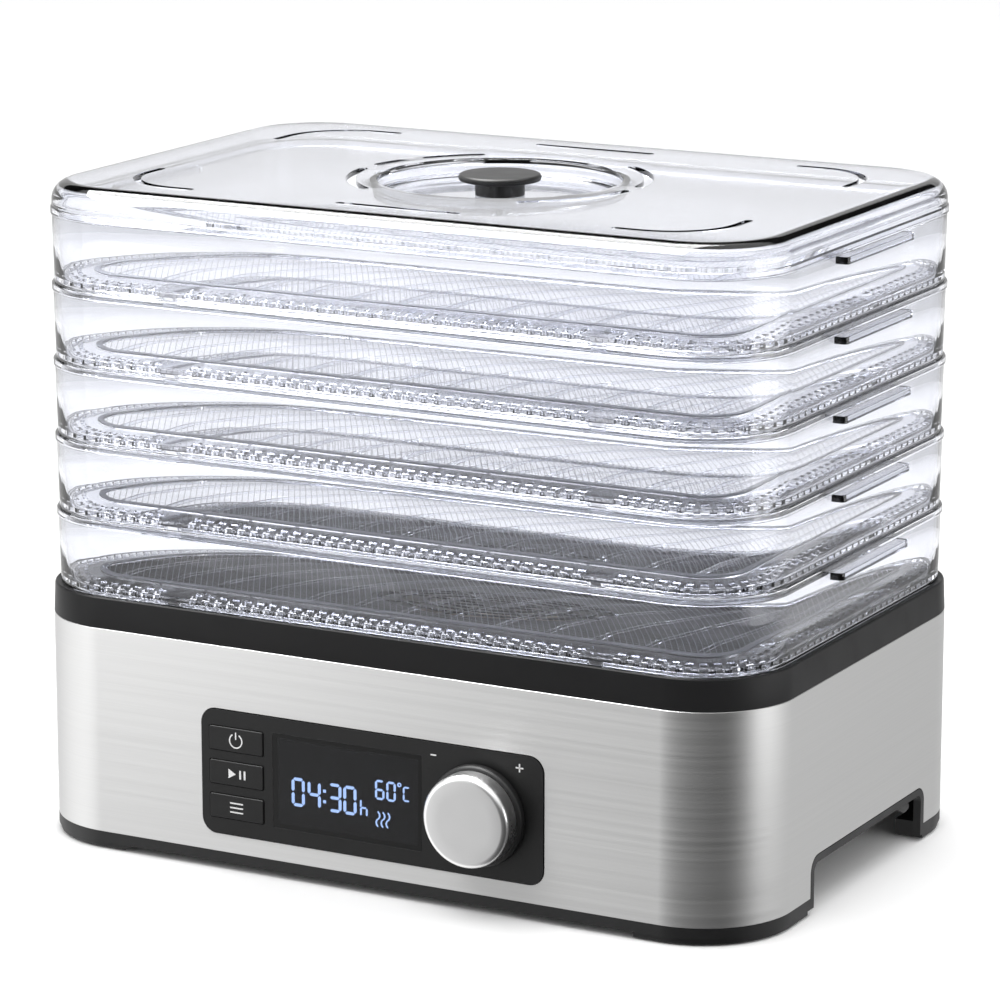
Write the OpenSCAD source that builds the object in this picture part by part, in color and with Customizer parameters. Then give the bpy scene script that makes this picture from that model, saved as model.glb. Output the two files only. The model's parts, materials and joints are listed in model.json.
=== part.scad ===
// Food dehydrator: a steel-clad fan base, five stacking trays and a vented lid.
// Millimetres. The origin is on the table under the middle of the whole footprint.
// +X is to the right of someone facing the controls, -Y is the front and +Z is up.

/* [Base] */
// Width of the base over the steel sleeve
body_w = 335; // [279:1:402]
// Depth of the base over the steel sleeve
body_d = 220; // [183:1:264]
// Corner radius of the base, seen from above
corner_r = 39; // [32:1:48]
// Height of the corner feet below the black trim
foot_h = 3; // [2:0.5:8]
// Height of the black trim under the steel
trim_h = 4.5; // [3:0.5:8]
// Height of the steel sleeve
steel_h = 87; // [84:1:105]
// Thickness of the steel sheet
steel_t = 0.8; // [0.5:0.1:1.5]
// Wall of the moulded casing behind the steel
casing_t = 2.2; // [1.6:0.1:3]
// Clear height under the floor of the base
under_h = 21; // [17:0.5:21.5]
// Thickness of the floor of the base
floor_t = 3; // [2:0.5:4]
// Length of each corner foot along the front
foot_len_x = 50; // [42:1:60]

/* [Side cut-outs] */
// Width of the opening under each side
cutout_w = 107; // [90:1:115]
// How far the opening sits behind the middle
cutout_back = 4.5; // [0:0.5:8]
// Width of the black lining round the opening
lining_w = 3; // [2:0.5:5]
// Radius of the opening's upper corners
cutout_r = 3.5; // [1:0.5:5]

/* [Band] */
// Height of the black band above the steel
band_h = 13; // [11:0.5:18]
// How far the band leans in over its height
band_draft = 0.6; // [0:0.1:1.2]
// Thickness of the deck plate inside the band
deck_t = 3; // [2:0.5:4]

/* [Control panel] */
// Width of the black fascia
panel_w = 157; // [150:1:175]
// Height of the black fascia
panel_h = 52.5; // [50:0.5:60]
// Corner radius of the fascia
panel_r = 6.5; // [3:0.5:10]
// Height of the middle of the fascia above the table
panel_z = 41.6; // [41.5:0.1:50]
// How far the fascia stands proud of the steel
panel_proud = 0.4; // [0.2:0.1:1]
// Thickness of the fascia
panel_t = 3.9; // [3:0.1:5]
// Width of the display window
window_w = 69; // [60:1:70]
// Height of the display window
window_h = 40; // [34:1:42]
// Place of the window's middle across the fascia
window_x = -10.5; // [-12:0.5:-9]

/* [Buttons] */
// Width of a push button
button_w = 25.4; // [20:0.1:27]
// Height of a push button
button_h = 10; // [8:0.1:11.5]
// Distance from one button to the next
button_pitch = 14.3; // [13.5:0.1:15]
// Place of the buttons' middle across the fascia
button_x = -62; // [-63:0.5:-61]
// How far a button stands proud of the fascia
button_proud = 0.5; // [0.3:0.1:1]
// How far a button travels when it is pushed
button_travel = 0.8; // [0.4:0.1:1.2]

/* [Control knob] */
// Place of the knob across the fascia
knob_x = 50; // [46:0.5:54]
// Diameter of the silver cap
knob_d = 38; // [32:0.5:44]
// Length of the silver cap
knob_len = 8.6; // [6:0.1:12]
// Diameter of the black skirt behind the cap
skirt_d = 41.6; // [36:0.1:46]
// Length of the black skirt
skirt_len = 3.8; // [3:0.1:5]
// Diameter of the encoder's shaft
shaft_d = 6; // [4:0.5:7]

/* [Trays] */
// Height that one tray adds to the stack
tray_pitch = 31.5; // [26:0.5:40]
// Thickness of a tray's wall
tray_wall = 2; // [1.6:0.1:3]
// How far a tray's wall stands inside the base
tray_inset = 2.5; // [2:0.1:5]
// Height of the bead round a tray's rim
rim_h = 3; // [2:0.5:5]
// How far the bead stands proud of the wall
rim_proud = 1; // [0.5:0.1:1.5]
// Thickness of a tray's slotted floor
tray_floor_t = 2; // [1.5:0.1:3]
// Height of the slotted floor above the tray's lower edge
tray_floor_z = 1; // [0:0.5:4]
// Depth of the lip that nests in the tray below
nest_depth = 3; // [2:0.5:5]
// Thickness of the nesting lip
nest_t = 1.6; // [1.2:0.1:2.5]
// Length of the grip on each short side
grip_len = 66; // [50:1:90]
// How far the grip stands out of the wall
grip_proud = 5.5; // [3:0.5:8]
// Height of the grip
grip_h = 3; // [2:0.5:5]
// Clear border between the tray's wall and the drying net
net_border = 17; // [12:0.5:25]
// Thickness of the drying net's panel
net_t = 0.9; // [0.6:0.1:1.5]

/* [Lid] */
// Height of the lid above the top tray
lid_h = 10.5; // [10:0.5:18]
// Thickness of the lid
lid_t = 2.2; // [1.6:0.1:3]
// Radius of the rounded edge of the lid
lid_edge_r = 8; // [4:0.5:9]
// Radius of the sunken dish in the middle of the lid
dish_r = 50; // [42:0.5:54]
// Depth of the sunken dish
dish_depth = 7; // [3:0.5:7.5]
// Width of the vent slots
vent_w = 3.4; // [2:0.1:5]
// Radius of the four curved vent slots
arc_vent_r = 61; // [58:0.5:72]
// Distance of the outer vent slots from the long edges of the lid
vent_inset_y = 22.5; // [18:0.5:26]
// Distance of the outer vent slots from the short edges of the lid
vent_inset_x = 31; // [24:0.5:34]

/* [Lid knob] */
// Diameter of the lid knob
lid_knob_d = 34; // [28:1:50]
// Thickness of the lid knob's disc
lid_knob_t = 2.8; // [2.4:0.1:6]
// Diameter of the lid knob's stem
stem_d = 20.4; // [14:0.2:26]
// Height of the stem above the dish
stem_h = 5.9; // [5:0.1:14]

/* [Fan and heater] */
// Inner radius of the air duct
duct_r = 56; // [50:1:58]
// Wall of the air duct
duct_t = 2; // [1.5:0.1:3]
// Radius over the fan's blade tips
fan_r = 52; // [44:0.5:53]
// Number of fan blades
blade_count = 7; // [5:1:9]
// Diameter of the fan motor
motor_d = 44; // [36:1:50]
// Diameter of the motor's shaft
motor_shaft_d = 5; // [4:0.5:6]
// Radius of the outermost turn of the heating coil
coil_r = 42; // [36:1:46]

/* [Cord inlet] */
// Diameter of the mains lead that the gland takes
cord_d = 7; // [6:0.1:9]
// How far the gland's flange stands behind the steel
gland_proud = 2.5; // [2:0.1:4]
// Height of the gland above the table
gland_z = 42; // [36:1:60]

/* [Fits] */
// Gap between pieces that slide into each other
fit_gap = 0.3; // [0.2:0.05:0.5]
// Gap between a nesting lip and the tray below
nest_gap = 0.6; // [0.4:0.1:1]
// Radial gap round a turning shaft
running_gap = 0.05; // [0.02:0.01:0.1]
// Radial gap round a pressed shaft or a screw
press_gap = 0.02; // [0.01:0.01:0.05]

/* [Hidden] */
$fn = 64;

// Heights of the base
steel_z = foot_h + trim_h;
band_z = steel_z + steel_h;
stack_z = band_z + band_h;
floor_top = under_h + floor_t;
deck_top = stack_z - 6.5;
deck_z = deck_top - deck_t;

// Insets from the outer face of the steel
casing_out = steel_t + fit_gap;
casing_in = casing_out + casing_t;
seat_in = tray_inset + tray_wall;
tongue_out = casing_in + 0.4;
tongue_t = 2;
tongue_z = band_z - 10;
casing_top = band_z - 4;

// Feet and rubber pads
pad_proud = 0.8;
pad_r = 4.5;
pad_h = 3;
pad_inset = 7.5;
foot_band = 13;
foot_setback = 4;
cutout_reach = 30;

// The front wall
front_y = body_d / 2;
panel_front = front_y + panel_proud;
panel_back = panel_front - panel_t;
board_front = front_y - 12;
board_t = 1.6;
board_bottom = floor_top + 0.6;
board_top = panel_z + panel_h / 2 - 0.5;
board_w = panel_w - 4;

// Window, and the display module behind it
window_t = 1.2;
window_ledge = 2;
window_gap = 0.2;
segment_t = 0.3;
module_front = panel_front - window_t - window_gap - segment_t;
module_w = window_w - 2 * window_ledge - 2 * fit_gap;
module_h = window_h - 2 * window_ledge - 2;

// Buttons, and the small switches behind them
button_r = 0.8;
button_flange = 0.8;
button_flange_t = 1.5;
switch_size = 5.2;
switch_h = 3;
switch_stem_h = 3.6;
switch_stem_r = 1.7;
button_rod_r = 2;
button_rod_gap = 0.2;
panel_cut_depth = front_y - panel_back + button_flange_t + button_travel + fit_gap;

// Posts that carry the control board
board_post_r = 2.1;
board_hole_right = panel_w / 2 - 6;
board_hole_top = panel_z + panel_h / 2 - 2.95;
board_hole_low = board_bottom + 2.9;
button_right = button_x + button_w / 2 + button_flange;
window_left = window_x - window_w / 2 + window_ledge;
board_hole_low_left = (button_right + window_left) / 2;

// Knob and encoder along the panel's normal
knob_z = panel_z - 0.6;
skirt_back = panel_front + 0.5;
skirt_front = skirt_back + skirt_len;
knob_front = skirt_front + knob_len;
encoder_body_len = 6.5;
encoder_size = 13;
shaft_start = board_front + 3;
encoder_bush_d = shaft_d + 3;
encoder_nut_d = encoder_bush_d + 5;
encoder_nut_t = 1.6;
nut_back = panel_front;
bush_front = nut_back + encoder_nut_t + 0.3;
shaft_end_gap = 3.2;

// The whole footprint is centred on the origin, knob and gland included
footprint_shift = (knob_front - (front_y + gland_proud)) / 2;

// Screws
post_x = body_w / 2 - 37.5;
post_y = body_d / 2 - 32;
post_r = 5;
screw_r = 1.6;
screw_head_r = 3.3;
screw_head_t = 2.2;
screw_len = 52;
small_screw_r = 1.2;
small_head_r = 2.4;
small_head_t = 1.5;
small_screw_len = 7;
screw_sink = 0.1;
post_top = floor_top + 36;

// Fan and heater heights
duct_top = deck_z - 0.5;
motor_z = floor_top + 5;
motor_h = 22;
motor_top = motor_z + motor_h;
impeller_z = motor_top + 4;
impeller_h = 14;
hub_r = 15;
blade_tilt = 32;
blade_w = 19;
blade_t = 1.6;
heater_z = impeller_z + impeller_h + 6;
heater_h = 9;
duct_ring_t = 2;
intake_r = 35;
intake_len = 30;
intake_w = 4;
duct_ring_h = 4.5;
deck_ring_h = 8;
duct_gap = 0.5;
outlet_r = duct_r - 6;
grille_seat_r = duct_r - 3;
grille_t = 1.5;
grille_bar = 2.2;
sensor_z = duct_top - 12;
cutout_pad_t = 0.2;
cutout_disc_r = 7;
sensor_r = 2;
fuse_d = 3.6;
bracket_t = 2;
bracket_r = 46;

// Power board, hung from the right-hand wall
power_w = 46;
power_d = 76;
power_x = body_w / 2 - 14 - power_w / 2;
power_standoff = 6;
power_z = floor_top + power_standoff;
power_top = power_z + board_t;
power_hole_x = power_w / 2 - 4;
power_hole_y = power_d / 2 - 4;
relay_size = [20, 16, 15];
relay_y = 10 - power_d / 2;
transformer_base = [28, 24, 4];
transformer_core = [22, 20, 20];
transformer_y = -8;
capacitor_size = [10, 14, 14];
capacitor_x = power_x - 16;
capacitor_y = power_d / 2 - 19;
terminal_size = [14, 11, 12];
terminal_y = power_d / 2 - 16;

// Cord gland in the back wall
gland_x = body_w / 2 - 62;
gland_hole_r = cord_d / 2 + 2.6;
gland_flange_r = gland_hole_r + 2.6;
gland_bore_r = cord_d / 2 + 0.25;
gland_in = front_y - casing_in - 7;

// Trays and lid
tray_w = body_w - 2 * tray_inset;
tray_d = body_d - 2 * tray_inset;
tray_r = corner_r - tray_inset;
tray_count = 5;
tray_lean = 0.6;
net_w = tray_w - 2 * (tray_wall + net_border);
net_d = tray_d - 2 * (tray_wall + net_border);
net_r = tray_r - tray_wall - net_border + 6;
lid_z = stack_z + tray_count * tray_pitch;
lid_top = lid_z + lid_h;
dish_floor = lid_top - dish_depth;
lid_knob_pilot_r = 1.6;
lid_inner_r = 3.5;

nest_inset = tray_wall + nest_gap;

// Display characters, and the bars each one lights:
// top, upper right, lower right, bottom, lower left, upper left, middle
digit_h = 12;
digit_w = 6;
small_digit_h = 8.2;
small_digit_w = 4.2;
digit_0 = [1, 1, 1, 1, 1, 1, 0];
digit_3 = [1, 1, 1, 1, 0, 0, 1];
digit_4 = [0, 1, 1, 0, 0, 1, 1];
digit_6 = [1, 0, 1, 1, 1, 1, 1];
letter_h = [0, 0, 1, 0, 1, 1, 1];
letter_c = [1, 0, 0, 1, 1, 1, 0];

// Where the characters stand, from the middle of the window: across and up
clock_digits = [[-23.2, digit_0], [-15.7, digit_4], [-6.1, digit_3], [0.9, digit_0]];
clock_up = -3.8;
colon_at = -10.9;
colon_rise = 2.2;
colon_dot = 1.2;
hour_at = [7.3, -6];
hour_size = [3.4, 7.4];
heat_digits = [[14.7, digit_6], [19.9, digit_0]];
heat_up = 2.6;
degree_at = [23.7, 6];
degree_r = 0.9;
celsius_at = [27, 2.5];
celsius_size = [3.3, 6.2];
wave_at = [13.8, 16.1, 18.4];
wave_up = -9.7;
wave_h = 6;
wave_bulge = 0.8;
wave_line = 0.55;

// Heating coil
coil_turns = [coil_r, coil_r - 10, coil_r - 20];
coil_wire_r = 2;
mica_t = 1;
coil_notch = 5;

// ---- shared shapes -------------------------------------------------------

// A rounded rectangle from squares and circles
module round_rect(w, d, r) {
    square([w - 2 * r, d], center = true);
    square([w, d - 2 * r], center = true);
    for (x = [-1, 1], y = [-1, 1])
        translate([x * (w / 2 - r), y * (d / 2 - r)])
            circle(r = r);
}

// The base's outline, moved in by a distance
module base_outline(inset) {
    round_rect(body_w - 2 * inset, body_d - 2 * inset, corner_r - inset);
}

// A wall that follows the base's outline between two insets
module base_wall(outer, inner, z, h) {
    translate([0, 0, z])
        linear_extrude(height = h)
            difference() {
                base_outline(outer);
                base_outline(inner);
            }
}

// Sweeps a profile once round a rounded rectangle.
// The profile's x is the distance outward from the outline, its y is the height.
module sweep_round(w, d, r) {
    for (a = [0, 90, 180, 270]) {
        cx = (a == 0 || a == 270) ? w / 2 - r : r - w / 2;
        cy = a < 180 ? d / 2 - r : r - d / 2;
        across = a % 180 == 0 ? w / 2 : d / 2;
        along = a % 180 == 0 ? d - 2 * r : w - 2 * r;
        translate([cx, cy, 0])
            rotate([0, 0, a])
                rotate_extrude(angle = 90)
                    translate([r, 0])
                        children();
        rotate([0, 0, a])
            translate([across, 0, 0])
                rotate([90, 0, 0])
                    linear_extrude(height = along, center = true)
                        children();
    }
}

// Stands a flat shape on the front wall: x across, y up, extruded towards the user
module on_front(x, z, back) {
    translate([x, -back, z])
        rotate([90, 0, 0])
            children();
}

module at_posts() {
    for (x = [-1, 1], y = [-1, 1])
        translate([x * post_x, y * post_y, 0])
            children();
}

module at_power_holes() {
    for (x = [-1, 1], y = [-1, 1])
        translate([power_x + x * power_hole_x, y * power_hole_y, 0])
            children();
}

// The lower left screw sits between the buttons and the display
module at_board_holes() {
    holes = [
        [-board_hole_right, board_hole_top],
        [board_hole_right, board_hole_top],
        [board_hole_low_left, board_hole_low],
        [board_hole_right, board_hole_low]
    ];
    for (hole = holes)
        on_front(hole[0], hole[1], 0)
            children();
}

// A slot with round ends along x
module slot_2d(len, w) {
    square([len - w, w], center = true);
    for (x = [-1, 1])
        translate([x * (len - w) / 2, 0])
            circle(d = w, $fn = 24);
}

// The opening under both short sides, grown by a distance
module side_openings(grow, top) {
    half = cutout_w / 2 + grow;
    r = cutout_r + grow;
    for (x = [-1, 1])
        translate([x * body_w / 2 - cutout_reach, cutout_back, 0])
            rotate([90, 0, 90])
                linear_extrude(height = 2 * cutout_reach) {
                    translate([-half, -1])
                        square([2 * half, top + 1 - r]);
                    translate([r - half, -1])
                        square([2 * (half - r), top + 1]);
                    for (y = [-1, 1])
                        translate([y * (half - r), top - r])
                            circle(r = r);
                }
}

// The opening in the front wall that takes the fascia
module panel_cut() {
    on_front(0, panel_z, front_y - panel_cut_depth)
        linear_extrude(height = 2 * panel_cut_depth)
            round_rect(panel_w + 2 * fit_gap, panel_h + 2 * fit_gap, panel_r + fit_gap);
}

// The round opening in the back wall that takes the gland
module gland_cut() {
    translate([gland_x, body_d / 2 - casing_in - 3, gland_z])
        rotate([-90, 0, 0])
            cylinder(r = gland_hole_r + fit_gap, h = casing_in + 6);
}

// A ring that holds one end of the duct
module duct_ring_2d() {
    difference() {
        circle(r = duct_r + duct_t + duct_gap + duct_ring_t);
        circle(r = duct_r + duct_t + duct_gap);
    }
}

// ---- base ----------------------------------------------------------------

module steel_housing() {
    color("silver")
        difference() {
            base_wall(0, steel_t, steel_z, steel_h);
            panel_cut();
            side_openings(lining_w + fit_gap, under_h + lining_w + fit_gap);
            gland_cut();
        }
}

module corner_foot(x, y) {
    foot_back = cutout_back + y * cutout_w / 2;
    side_len = body_d / 2 - abs(foot_back) - foot_setback;
    intersection() {
        base_wall(0.8, foot_band, pad_proud, steel_z - pad_proud);
        translate([x * (body_w - foot_len_x) / 2, y * (body_d - side_len) / 2, 0])
            cube([foot_len_x, side_len, 4 * steel_z], center = true);
    }
}

// Centre of the round pad under each corner
module at_pads() {
    reach = corner_r - pad_inset;
    for (x = [-1, 1], y = [-1, 1])
        translate([
            x * (body_w / 2 - corner_r + reach * cos(45)),
            y * (body_d / 2 - corner_r + reach * sin(45)),
            0
        ])
            children();
}

// Air slots under the motor, except where its bracket stands
module intake_slots() {
    for (a = [0:15:345])
        if (a % 90 != 45)
            rotate([0, 0, a])
                translate([intake_r, 0, under_h - 1])
                    linear_extrude(height = floor_t + 2)
                        slot_2d(intake_len, intake_w);
}

module bottom_chassis() {
    color([0.09, 0.09, 0.1])
        difference() {
            union() {
                base_wall(casing_out, casing_in, foot_h, casing_top - foot_h);
                base_wall(0, casing_out + 0.5, foot_h, trim_h);
                translate([0, 0, under_h])
                    linear_extrude(height = floor_t)
                        base_outline(casing_out + 0.5);
                for (x = [-1, 1], y = [-1, 1])
                    corner_foot(x, y);
                intersection() {
                    base_wall(0, casing_in, foot_h, under_h + lining_w - foot_h);
                    side_openings(lining_w, under_h + lining_w);
                }
                at_posts()
                    translate([0, 0, floor_top - 0.5])
                        cylinder(r = post_r, h = post_top - floor_top + 0.5);
                translate([0, 0, floor_top - 0.5])
                    linear_extrude(height = duct_ring_h + 0.5)
                        duct_ring_2d();
                for (a = [45:90:315])
                    rotate([0, 0, a])
                        translate([bracket_r, 0, floor_top - 0.5])
                            cylinder(r = 3.5, h = motor_z - bracket_t - floor_top + 0.5);
                at_power_holes()
                    translate([0, 0, floor_top - 0.5])
                        cylinder(r = 3, h = power_standoff + 0.5);
            }
            side_openings(0, under_h);
            intake_slots();
            panel_cut();
            gland_cut();
            at_posts()
                translate([0, 0, under_h - 1])
                    cylinder(r = screw_r + press_gap, h = post_top - under_h + 2);
            for (a = [45:90:315])
                rotate([0, 0, a])
                    translate([bracket_r, 0, under_h + 1])
                        cylinder(r = small_screw_r + press_gap, h = 20);
            at_power_holes()
                translate([0, 0, under_h + 1])
                    cylinder(r = small_screw_r + press_gap, h = 20);
            at_pads()
                cylinder(r = pad_r + press_gap, h = pad_h);
        }
}

module rubber_feet() {
    color([0.16, 0.16, 0.16])
        at_pads()
            cylinder(r = pad_r, h = pad_h);
}

module case_screws() {
    color("gainsboro")
        at_posts() {
            translate([0, 0, under_h - screw_head_t])
                cylinder(r = screw_head_r, h = screw_head_t);
            translate([0, 0, under_h - screw_sink])
                cylinder(r = screw_r, h = screw_len);
        }
}

module top_deck() {
    color([0.2, 0.2, 0.21])
        difference() {
            union() {
                translate([0, 0, band_z])
                    sweep_round(body_w, body_d, corner_r)
                        polygon([
                            [0, 0],
                            [-band_draft * 0.9, band_h - 1],
                            [-band_draft - 0.7, band_h],
                            [-seat_in, band_h],
                            [-seat_in, 0]
                        ]);
                translate([0, 0, deck_z])
                    linear_extrude(height = deck_t)
                        base_outline(seat_in - 0.5);
                base_wall(tongue_out, tongue_out + tongue_t, tongue_z, deck_z - tongue_z + 0.5);
                translate([0, 0, deck_z - deck_ring_h])
                    linear_extrude(height = deck_ring_h + 0.5)
                        duct_ring_2d();
                at_posts()
                    translate([0, 0, post_top])
                        cylinder(r = post_r - 0.5, h = deck_z - post_top + 0.5);
            }
            translate([0, 0, deck_z - 1])
                cylinder(r = outlet_r, h = deck_t + 2);
            translate([0, 0, deck_top - grille_t])
                cylinder(r = grille_seat_r, h = 2 * grille_t);
            at_posts()
                translate([0, 0, post_top - 1])
                    cylinder(r = screw_r + press_gap, h = deck_z - post_top);
        }
}

module air_outlet_grille() {
    grille_r = grille_seat_r - fit_gap;
    bar = grille_bar;
    color([0.13, 0.13, 0.14])
        translate([0, 0, deck_top - grille_t])
            linear_extrude(height = grille_t) {
                for (r = [grille_r, grille_r * 0.8, grille_r * 0.6, grille_r * 0.4])
                    difference() {
                        circle(r = r);
                        circle(r = r - bar);
                    }
                circle(r = grille_r * 0.18);
                for (a = [0:45:135])
                    rotate(a)
                        square([2 * grille_r - bar, bar], center = true);
            }
}

// ---- controls ------------------------------------------------------------

module button_hole_2d(grow) {
    round_rect(button_w + 2 * grow, button_h + 2 * grow, button_r + grow);
}

module at_buttons(back) {
    for (i = [-1, 0, 1])
        on_front(button_x, panel_z + i * button_pitch, back)
            children();
}

module control_fascia() {
    color([0.15, 0.15, 0.15])
        difference() {
            union() {
                on_front(0, panel_z, panel_back)
                    linear_extrude(height = panel_t)
                        round_rect(panel_w, panel_h, panel_r);
                at_board_holes()
                    translate([0, 0, board_front])
                        cylinder(r = board_post_r, h = panel_back - board_front + 0.5);
            }
            at_buttons(panel_back - 1)
                linear_extrude(height = panel_t + 2)
                    button_hole_2d(fit_gap);
            on_front(window_x, panel_z, panel_front - window_t)
                linear_extrude(height = 2 * window_t)
                    round_rect(window_w, window_h, button_r);
            on_front(window_x, panel_z, panel_back - 1)
                linear_extrude(height = panel_t + 2)
                    round_rect(window_w - 2 * window_ledge, window_h - 2 * window_ledge, button_r);
            on_front(knob_x, knob_z, panel_back - 1)
                cylinder(d = encoder_bush_d + 2 * fit_gap, h = panel_t + 2);
            at_board_holes()
                translate([0, 0, board_front - 1])
                    cylinder(r = small_screw_r + press_gap, h = panel_back - board_front + 1.5);
        }
}

module display_window() {
    color([0.04, 0.05, 0.08, 0.6])
        on_front(window_x, panel_z, panel_front - window_t)
            linear_extrude(height = window_t)
                round_rect(window_w - 2 * press_gap, window_h - 2 * press_gap, button_r);
}

module display_module() {
    color([0.05, 0.06, 0.1])
        on_front(window_x, panel_z, board_front)
            linear_extrude(height = module_front - board_front)
                square([module_w, module_h], center = true);
}

// One bar of a seven-segment character, pointed at both ends
module segment_bar(len, t) {
    polygon([
        [-len / 2, 0],
        [-len / 2 + t / 2, t / 2],
        [len / 2 - t / 2, t / 2],
        [len / 2, 0],
        [len / 2 - t / 2, -t / 2],
        [-len / 2 + t / 2, -t / 2]
    ]);
}

// A seven-segment character
module seven_segment(w, h, lit) {
    t = w * 0.2;
    gap = t * 0.22;
    across = w - t - 2 * gap;
    tall = (h - t) / 2 - 2 * gap;
    x = (w - t) / 2;
    y = (h - t) / 2;
    places = [[0, y, 0], [x, y / 2, 90], [x, -y / 2, 90], [0, -y, 0], [-x, -y / 2, 90], [-x, y / 2, 90], [0, 0, 0]];
    for (i = [0:6])
        if (lit[i] == 1)
            translate([places[i][0], places[i][1]])
                rotate(places[i][2])
                    segment_bar(places[i][2] == 0 ? across : tall, t);
}

module display_segments() {
    color([0.75, 0.85, 1])
        on_front(window_x, panel_z, module_front)
            linear_extrude(height = segment_t) {
                for (c = clock_digits)
                    translate([c[0], clock_up])
                        seven_segment(digit_w, digit_h, c[1]);
                for (y = [-1, 1])
                    translate([colon_at, clock_up + y * colon_rise])
                        square(colon_dot, center = true);
                translate(hour_at)
                    seven_segment(hour_size[0], hour_size[1], letter_h);
                for (c = heat_digits)
                    translate([c[0], heat_up])
                        seven_segment(small_digit_w, small_digit_h, c[1]);
                translate(degree_at)
                    difference() {
                        circle(r = degree_r, $fn = 24);
                        circle(r = degree_r / 2, $fn = 24);
                    }
                translate(celsius_at)
                    seven_segment(celsius_size[0], celsius_size[1], letter_c);
                for (x = wave_at)
                    translate([x, wave_up])
                        heat_wave();
            }
}

// A rising S made of two shallow arcs
module heat_wave() {
    bend = (pow(wave_h / 4, 2) + pow(wave_bulge, 2)) / (2 * wave_bulge);
    for (side = [-1, 1])
        intersection() {
            translate([side * (wave_bulge - bend), side * wave_h / 4])
                difference() {
                    circle(r = bend + wave_line / 2, $fn = 48);
                    circle(r = bend - wave_line / 2, $fn = 48);
                }
            translate([side * wave_h / 2 - side * 0.05, 0])
                square([wave_h, 2 * wave_h], center = true);
        }
}

module push_button(i) {
    rod_back = board_front + switch_stem_h + button_travel + button_rod_gap;
    color([0.17, 0.17, 0.17])
        on_front(button_x, panel_z + i * button_pitch, 0) {
            translate([0, 0, panel_back - button_flange_t])
                linear_extrude(height = panel_front + button_proud - panel_back + button_flange_t)
                    button_hole_2d(0);
            translate([0, 0, panel_back - button_flange_t])
                linear_extrude(height = button_flange_t)
                    round_rect(button_w + 2 * button_flange, button_h, button_r);
            translate([0, 0, rod_back])
                cylinder(r = button_rod_r, h = panel_back - 1 - rod_back, $fn = 32);
        }
}

module button_power() {
    push_button(1);
}

module button_play_pause() {
    push_button(0);
}

module button_menu() {
    push_button(-1);
}

module tact_switches() {
    color([0.3, 0.3, 0.32])
        at_buttons(board_front) {
            linear_extrude(height = switch_h)
                square(switch_size, center = true);
            cylinder(r = switch_stem_r, h = switch_stem_h, $fn = 32);
        }
}

module knob_cap() {
    edge = 2.4;
    cap_r = knob_d / 2;
    color([0.8, 0.8, 0.8])
        on_front(knob_x, knob_z, skirt_front)
            rotate_extrude()
                difference() {
                    union() {
                        square([cap_r, knob_len - edge]);
                        square([cap_r - edge, knob_len]);
                        translate([cap_r - edge, knob_len - edge])
                            circle(r = edge, $fn = 48);
                    }
                    square([shaft_d / 2 + press_gap, knob_len - 3]);
                    translate([-1, -1])
                        square([1, knob_len + 2]);
                    translate([shaft_d / 2 + 3, -1])
                        square([cap_r - 2 - shaft_d / 2 - 3, knob_len - 2]);
                }
}

module knob_skirt() {
    skirt_r = skirt_d / 2;
    color([0.06, 0.06, 0.06])
        on_front(knob_x, knob_z, skirt_back)
            difference() {
                rotate_extrude()
                    polygon([
                        [shaft_d / 2 + press_gap, 0],
                        [skirt_r, 0],
                        [skirt_r, skirt_len - 1.2],
                        [skirt_r - 0.8, skirt_len],
                        [shaft_d / 2 + press_gap, skirt_len]
                    ]);
                translate([0, 0, -1])
                    cylinder(d = encoder_nut_d + 1, h = encoder_nut_t + 1.3);
            }
}

module encoder_shaft() {
    color("gainsboro")
        on_front(knob_x, knob_z, shaft_start)
            cylinder(d = shaft_d, h = knob_front - shaft_end_gap - shaft_start);
}

module encoder_body() {
    color("darkgray")
        difference() {
            on_front(knob_x, knob_z, board_front) {
                linear_extrude(height = encoder_body_len)
                    square(encoder_size, center = true);
                cylinder(d = encoder_bush_d, h = bush_front - board_front);
            }
            on_front(knob_x, knob_z, shaft_start - 0.5)
                cylinder(d = shaft_d + 2 * running_gap, h = bush_front - board_front);
        }
}

module encoder_nut() {
    color("silver")
        on_front(knob_x, knob_z, nut_back)
            difference() {
                cylinder(d = encoder_nut_d, h = encoder_nut_t, $fn = 6);
                translate([0, 0, -1])
                    cylinder(d = encoder_bush_d + 2 * press_gap, h = encoder_nut_t + 2);
            }
}

module control_board() {
    color([0.05, 0.3, 0.15])
        difference() {
            on_front(0, (board_bottom + board_top) / 2, board_front - board_t)
                linear_extrude(height = board_t)
                    square([board_w, board_top - board_bottom], center = true);
            at_board_holes()
                translate([0, 0, board_front - board_t - 1])
                    cylinder(r = small_screw_r + press_gap, h = board_t + 2);
        }
}

module control_chips() {
    back = board_front - board_t - 2;
    color([0.1, 0.1, 0.1]) {
        on_front(-20, panel_z + 4, back)
            linear_extrude(height = 2)
                square([14, 10], center = true);
        on_front(12, panel_z - 8, back)
            linear_extrude(height = 2)
                square([8, 6], center = true);
        on_front(40, panel_z - 6, back - 4)
            cylinder(r = 6, h = 6);
    }
}

module control_board_screws() {
    color("gainsboro")
        at_board_holes()
            translate([0, 0, board_front - board_t]) {
                translate([0, 0, -small_head_t])
                    cylinder(r = small_head_r, h = small_head_t);
                translate([0, 0, -screw_sink])
                    cylinder(r = small_screw_r, h = small_screw_len);
            }
}

// ---- fan and heater --------------------------------------------------------

// Points outward from the duct at the height of the temperature sensor
module at_sensor() {
    rotate([0, 0, 45])
        translate([duct_r, 0, sensor_z])
            rotate([0, 90, 0])
                children();
}

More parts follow.
